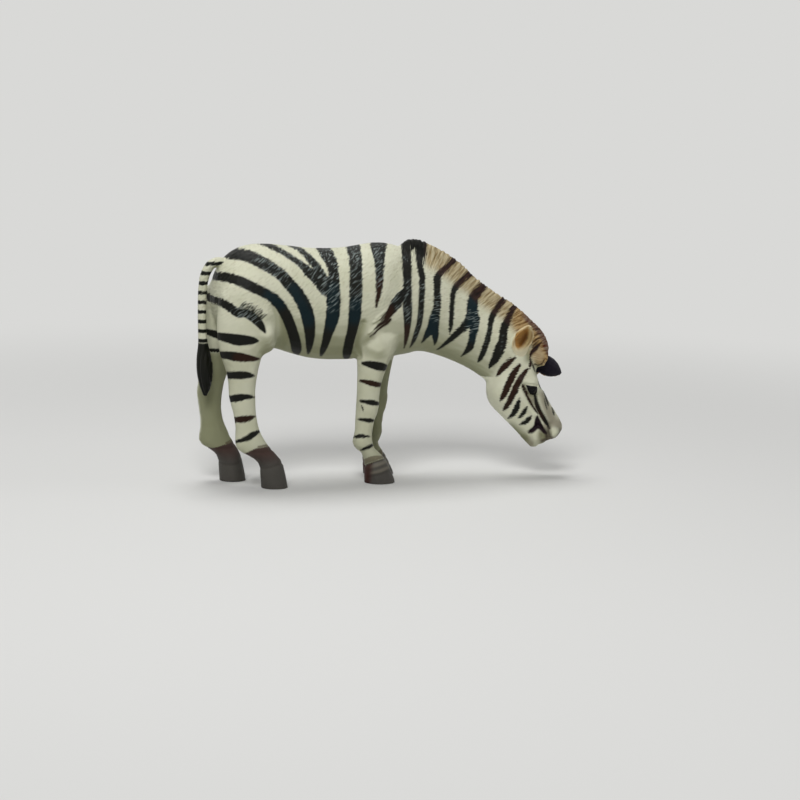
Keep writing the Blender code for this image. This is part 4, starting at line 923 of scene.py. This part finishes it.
def painted_vinyl(name):
    """Semi-gloss painted vinyl: what the eye gets is cream with painted olive shade in the hollows, on the
    underside and low on the legs, feathered dark stripes with pale hair strokes above that are painted
    highlights and a navy or green depth below, tan strands in the mane, brown in the ear, and gloss on the
    eye and the smooth dark paint."""
    material = bpy.data.materials.new(name)
    put = node_adder(material)
    layer = {key: put("layer", attribute_name=key) for key in LAYERS}

    def hair_noise(angle, length, width, detail):
        """Noise drawn out along hairs, from their angle in degrees and their size in millimetres."""
        turn = (0, -math.radians(angle), 0)
        size = (length * MM, 4 * width * MM, width * MM)
        return put("noise", put("turned", put("object place"), turn, size), 1.0, detail, 0.5)

    def covered(under, *names):
        """A colour with layers laid over it, the first one lowest."""
        for name in names:
            under = put("cover", layer[name], under, COVERS[name])
        return under

    # Hair and finer strokes on the body and neck, blotches of 6 mm, the mould's grain, drawn coarse enough to
    # show, and the mane's strands
    hair = put("between", layer["neck"], hair_noise(36, 2.0, 0.3, 1.0), hair_noise(8, 1.8, 0.28, 1.0))
    fine = put("between", layer["neck"], hair_noise(38, 3.4, 0.25, 0.0), hair_noise(10, 3.2, 0.26, 0.0))
    blotch = hair_noise(0, 6, 6, 3.0)
    speck = hair_noise(0, 0.25, 0.25, 2.0)
    strand_place = put("joined", layer["strand"], layer["strand_out"], 0.0)
    strand = put("noise", strand_place, 1.0, 3.0, 0.6)
    wide_strand = put("noise", put("stretched", strand_place, (0.35, 0.8, 1.0)), 1.0, 1.0, 0.5)

    # Stripe edge: feathered by the hair above, nearly clean below
    edge_hair = put("plus", put("between", layer["mane"], hair, strand), -0.5)
    dark = put("eased", put("times plus", edge_hair, layer["feather"], layer["stripe"]), -0.42, 0.26)

    # Cream, a little warmer in blotches and between the hairs
    cream = put("cover", put("eased", blotch, 0.35, 0.75, 0.5), "#dadac3", "#c9caad")
    cream = put("cover", put("times", put("eased", hair, 0.5, 0.8, 0.5), layer["upper"]), cream, "#b0aa8a")
    # Laid over the cream: grey paint with painted shade on the muzzle, painted olive shade, and brown round
    # the nostril that is partly painted shade
    cream = covered(cream, "grey_and_shade", "shade", "nostril_dark_and_shade")

    # Tan strands of the mane, lighter on their raised crests as painted light and darker between them as a
    # wash;
    # orange-brown to the poll, dark red along its crest
    lit = put("eased", put("times plus", strand, 4.0, layer["wave"]), 1.1, 2.9)
    tan = put("cover", lit, "#806b41", "#cdbd97")
    tan = put("cover", put("eased", wide_strand, 0.4, 0.7, 0.4), tan, "#b8a47c")
    brown_tan = covered(put("cover", lit, "#624012", "#c29a56"), "lobe", "crest")
    tan = put("cover", layer["poll"], tan, brown_tan)
    pale = put("cover", put("times", layer["tan"], put("times plus", lit, -0.25, 1.0)), cream, tan)

    # Dark paint: black-brown, with navy-green depth, brown tips, red-brown in the mane with painted light on
    # its strands, and pale hair strokes that are painted highlights
    deep = covered(put("cover", blotch, "#0e100f", "#181810"), "teal", "brown")
    deep = put("cover", layer["reddish"], deep, put("cover", lit, "#140a08", "#38231c"))
    stroke = put("times", put("eased", fine, 0.57, 0.68, 0.6), layer["hair_highlight"])
    deep = put("cover", stroke, deep, "#8f9a97")
    colour = put("cover", dark, pale, deep)

    # Ears: a brown cup with a pale rim that is a painted highlight, a tan back on the near one, and a back
    # near black on the far one, partly dark paint and partly painted shade
    near_back = put("cover", blotch, "#c4ad7e", "#a8905f")
    far_back_dark_and_shade = put("cover", blotch, "#100c16", "#161120")
    ear_in = put("cover", layer["ear_deep"], put("cover", hair, "#a0733a", "#bb8e52"), "#6a4214")
    ear = put("cover", layer["ear_cup"], put("cover", layer["left_ear"], near_back, far_back_dark_and_shade), ear_in)
    colour = put("cover", layer["ear"], colour, covered(ear, "ear_fold", "ear_rim_highlight", "ear_low"))

    # Mouth, the pastern's worn paint, hooves with painted highlights on the fore hoof's ridges, and eyes
    colour = covered(colour, "mouth")
    worn = put("eased", put("times plus", speck, 0.9, layer["pastern"]), 0.65, 1.25, 0.8)
    colour = put("cover", worn, colour, put("cover", speck, "#544a38", "#6d6451"))
    hoof_top = put("cover", blotch, "#58554e", "#6c6963")
    hoof_low = put("cover", blotch, "#44423e", "#56534e")
    hoof = covered(put("cover", put("eased", layer["hoof"], 0.2, 5.5), hoof_top, hoof_low), "hoof_arc_highlight", "heel")
    on_hoof = put("eased", put("times plus", speck, 1.2, layer["hoof"]), 0.2, 0.8)
    colour = covered(put("cover", on_hoof, colour, hoof), "bands")
    on_eye = put("eased", layer["eye"], -0.08, 0.12)
    colour = put("cover", on_eye, colour, "#0d0b0e")

    # Gloss: least on the pale hair, more on smooth dark paint, most on the eye
    rough = put("times plus", blotch, 0.12, put("between", dark, 0.44, 0.39))
    rough = put("between", on_eye, rough, 0.12)

    # Relief finer than the mesh: hair strokes, strands, and a faint grain of the mould
    hair_height = put("times", put("times plus", fine, 0.5, hair), put("plus", layer["upper"], 0.06))
    height = put("between", layer["mane"], hair_height, put("times", strand, 1.6))
    height = put("times plus", speck, 0.05, height)
    put("surface", put("paint", colour, rough, 0.12, put("bump", 1.0, FINE_RELIEF * MM, height)))
    return material


paints = {slot: painted_vinyl(slot + "_painted_vinyl") for slot in sorted(set(SLOTS.values()))}
for name in NAMES:
    piece_of(name).data.materials.append(paints[SLOTS[name]])


# Stage, light and camera

# The floor's two tones, half its width in metres and the distances between which its matt paint gives way to
# the even tone, the even light round the figure, and where the lamps aim
FLOOR_PAINT = "#e6e6e4"
BACKDROP = "#d9d9d7"
FLOOR_HALF = 6.0
MATT_TO = 0.1
EVEN_FROM = 0.45
AMBIENT = 0.14
AIM = Vector((0.0, 0.0, 0.05))

# Lamps: power, width and place in metres
LAMPS = {
    "top": (2.6, 0.35, (-0.05, 0.16, 0.75)),
    "key": (5.0, 0.35, (-0.36, -0.62, 0.72)),
    "side": (0.5, 0.4, (0.7, -0.25, 0.35)),
}


def seen(put):
    """1 where the camera, gloss or glass sees a surface, 0 where the surface only lights the figure."""
    return put("most", put("most", put("camera ray"), put("gloss ray")), put("glass ray"))


def stage_floor():
    """A wide pale floor at the soles: matt where it takes the shadow, and an even tone further away."""
    mesh = bpy.data.meshes.new("floor")
    corners = [(x * FLOOR_HALF, y * FLOOR_HALF, 0) for x, y in ((-1, -1), (1, -1), (1, 1), (-1, 1))]
    mesh.from_pydata(corners, [], [(0, 1, 2, 3)])
    obj = placed("floor", mesh)
    material = bpy.data.materials.new("floor_paper")
    put = node_adder(material)
    share = put("times", put("eased", put("length", put("object place")), MATT_TO, EVEN_FROM), seen(put))
    put("surface", put("cover surface", share, put("matt", FLOOR_PAINT), put("glow", BACKDROP)))
    mesh.materials.append(material)


def soft_light(name, power, size, place):
    """A square lamp that looks at the figure."""
    lamp = bpy.data.lights.new(name, "AREA")
    lamp.energy = power
    lamp.size = size
    obj = placed(name, lamp)
    obj.location = place
    obj.rotation_euler = (AIM - Vector(place)).to_track_quat("-Z", "Y").to_euler()


def world_light():
    """Even light on the object, and the backdrop's tone for the camera, gloss and glass."""
    world = bpy.data.worlds.new("studio")
    put = node_adder(world)
    put("world", put("background", BACKDROP, put("between", seen(put), AMBIENT, 1.0)))
    bpy.context.scene.world = world


def photograph_camera():
    """The camera where the photograph's camera stood."""
    camera = placed("camera", bpy.data.cameras.new("camera"))
    camera.data.lens = LENS
    camera.data.sensor_width = SENSOR
    camera.data.clip_start = 0.01
    turn = Matrix((RIGHTWARD, RIGHTWARD.cross(LOOKS), -LOOKS)).transposed()
    camera.matrix_world = Matrix.Translation(Vector((EYE + SHIFT) * MM)) @ turn.to_4x4()
    bpy.context.scene.camera = camera


stage_floor()
for name, (power, size, place) in LAMPS.items():
    soft_light(name, power, size, place)
world_light()
photograph_camera()
bpy.context.scene.view_settings.view_transform = "Standard"
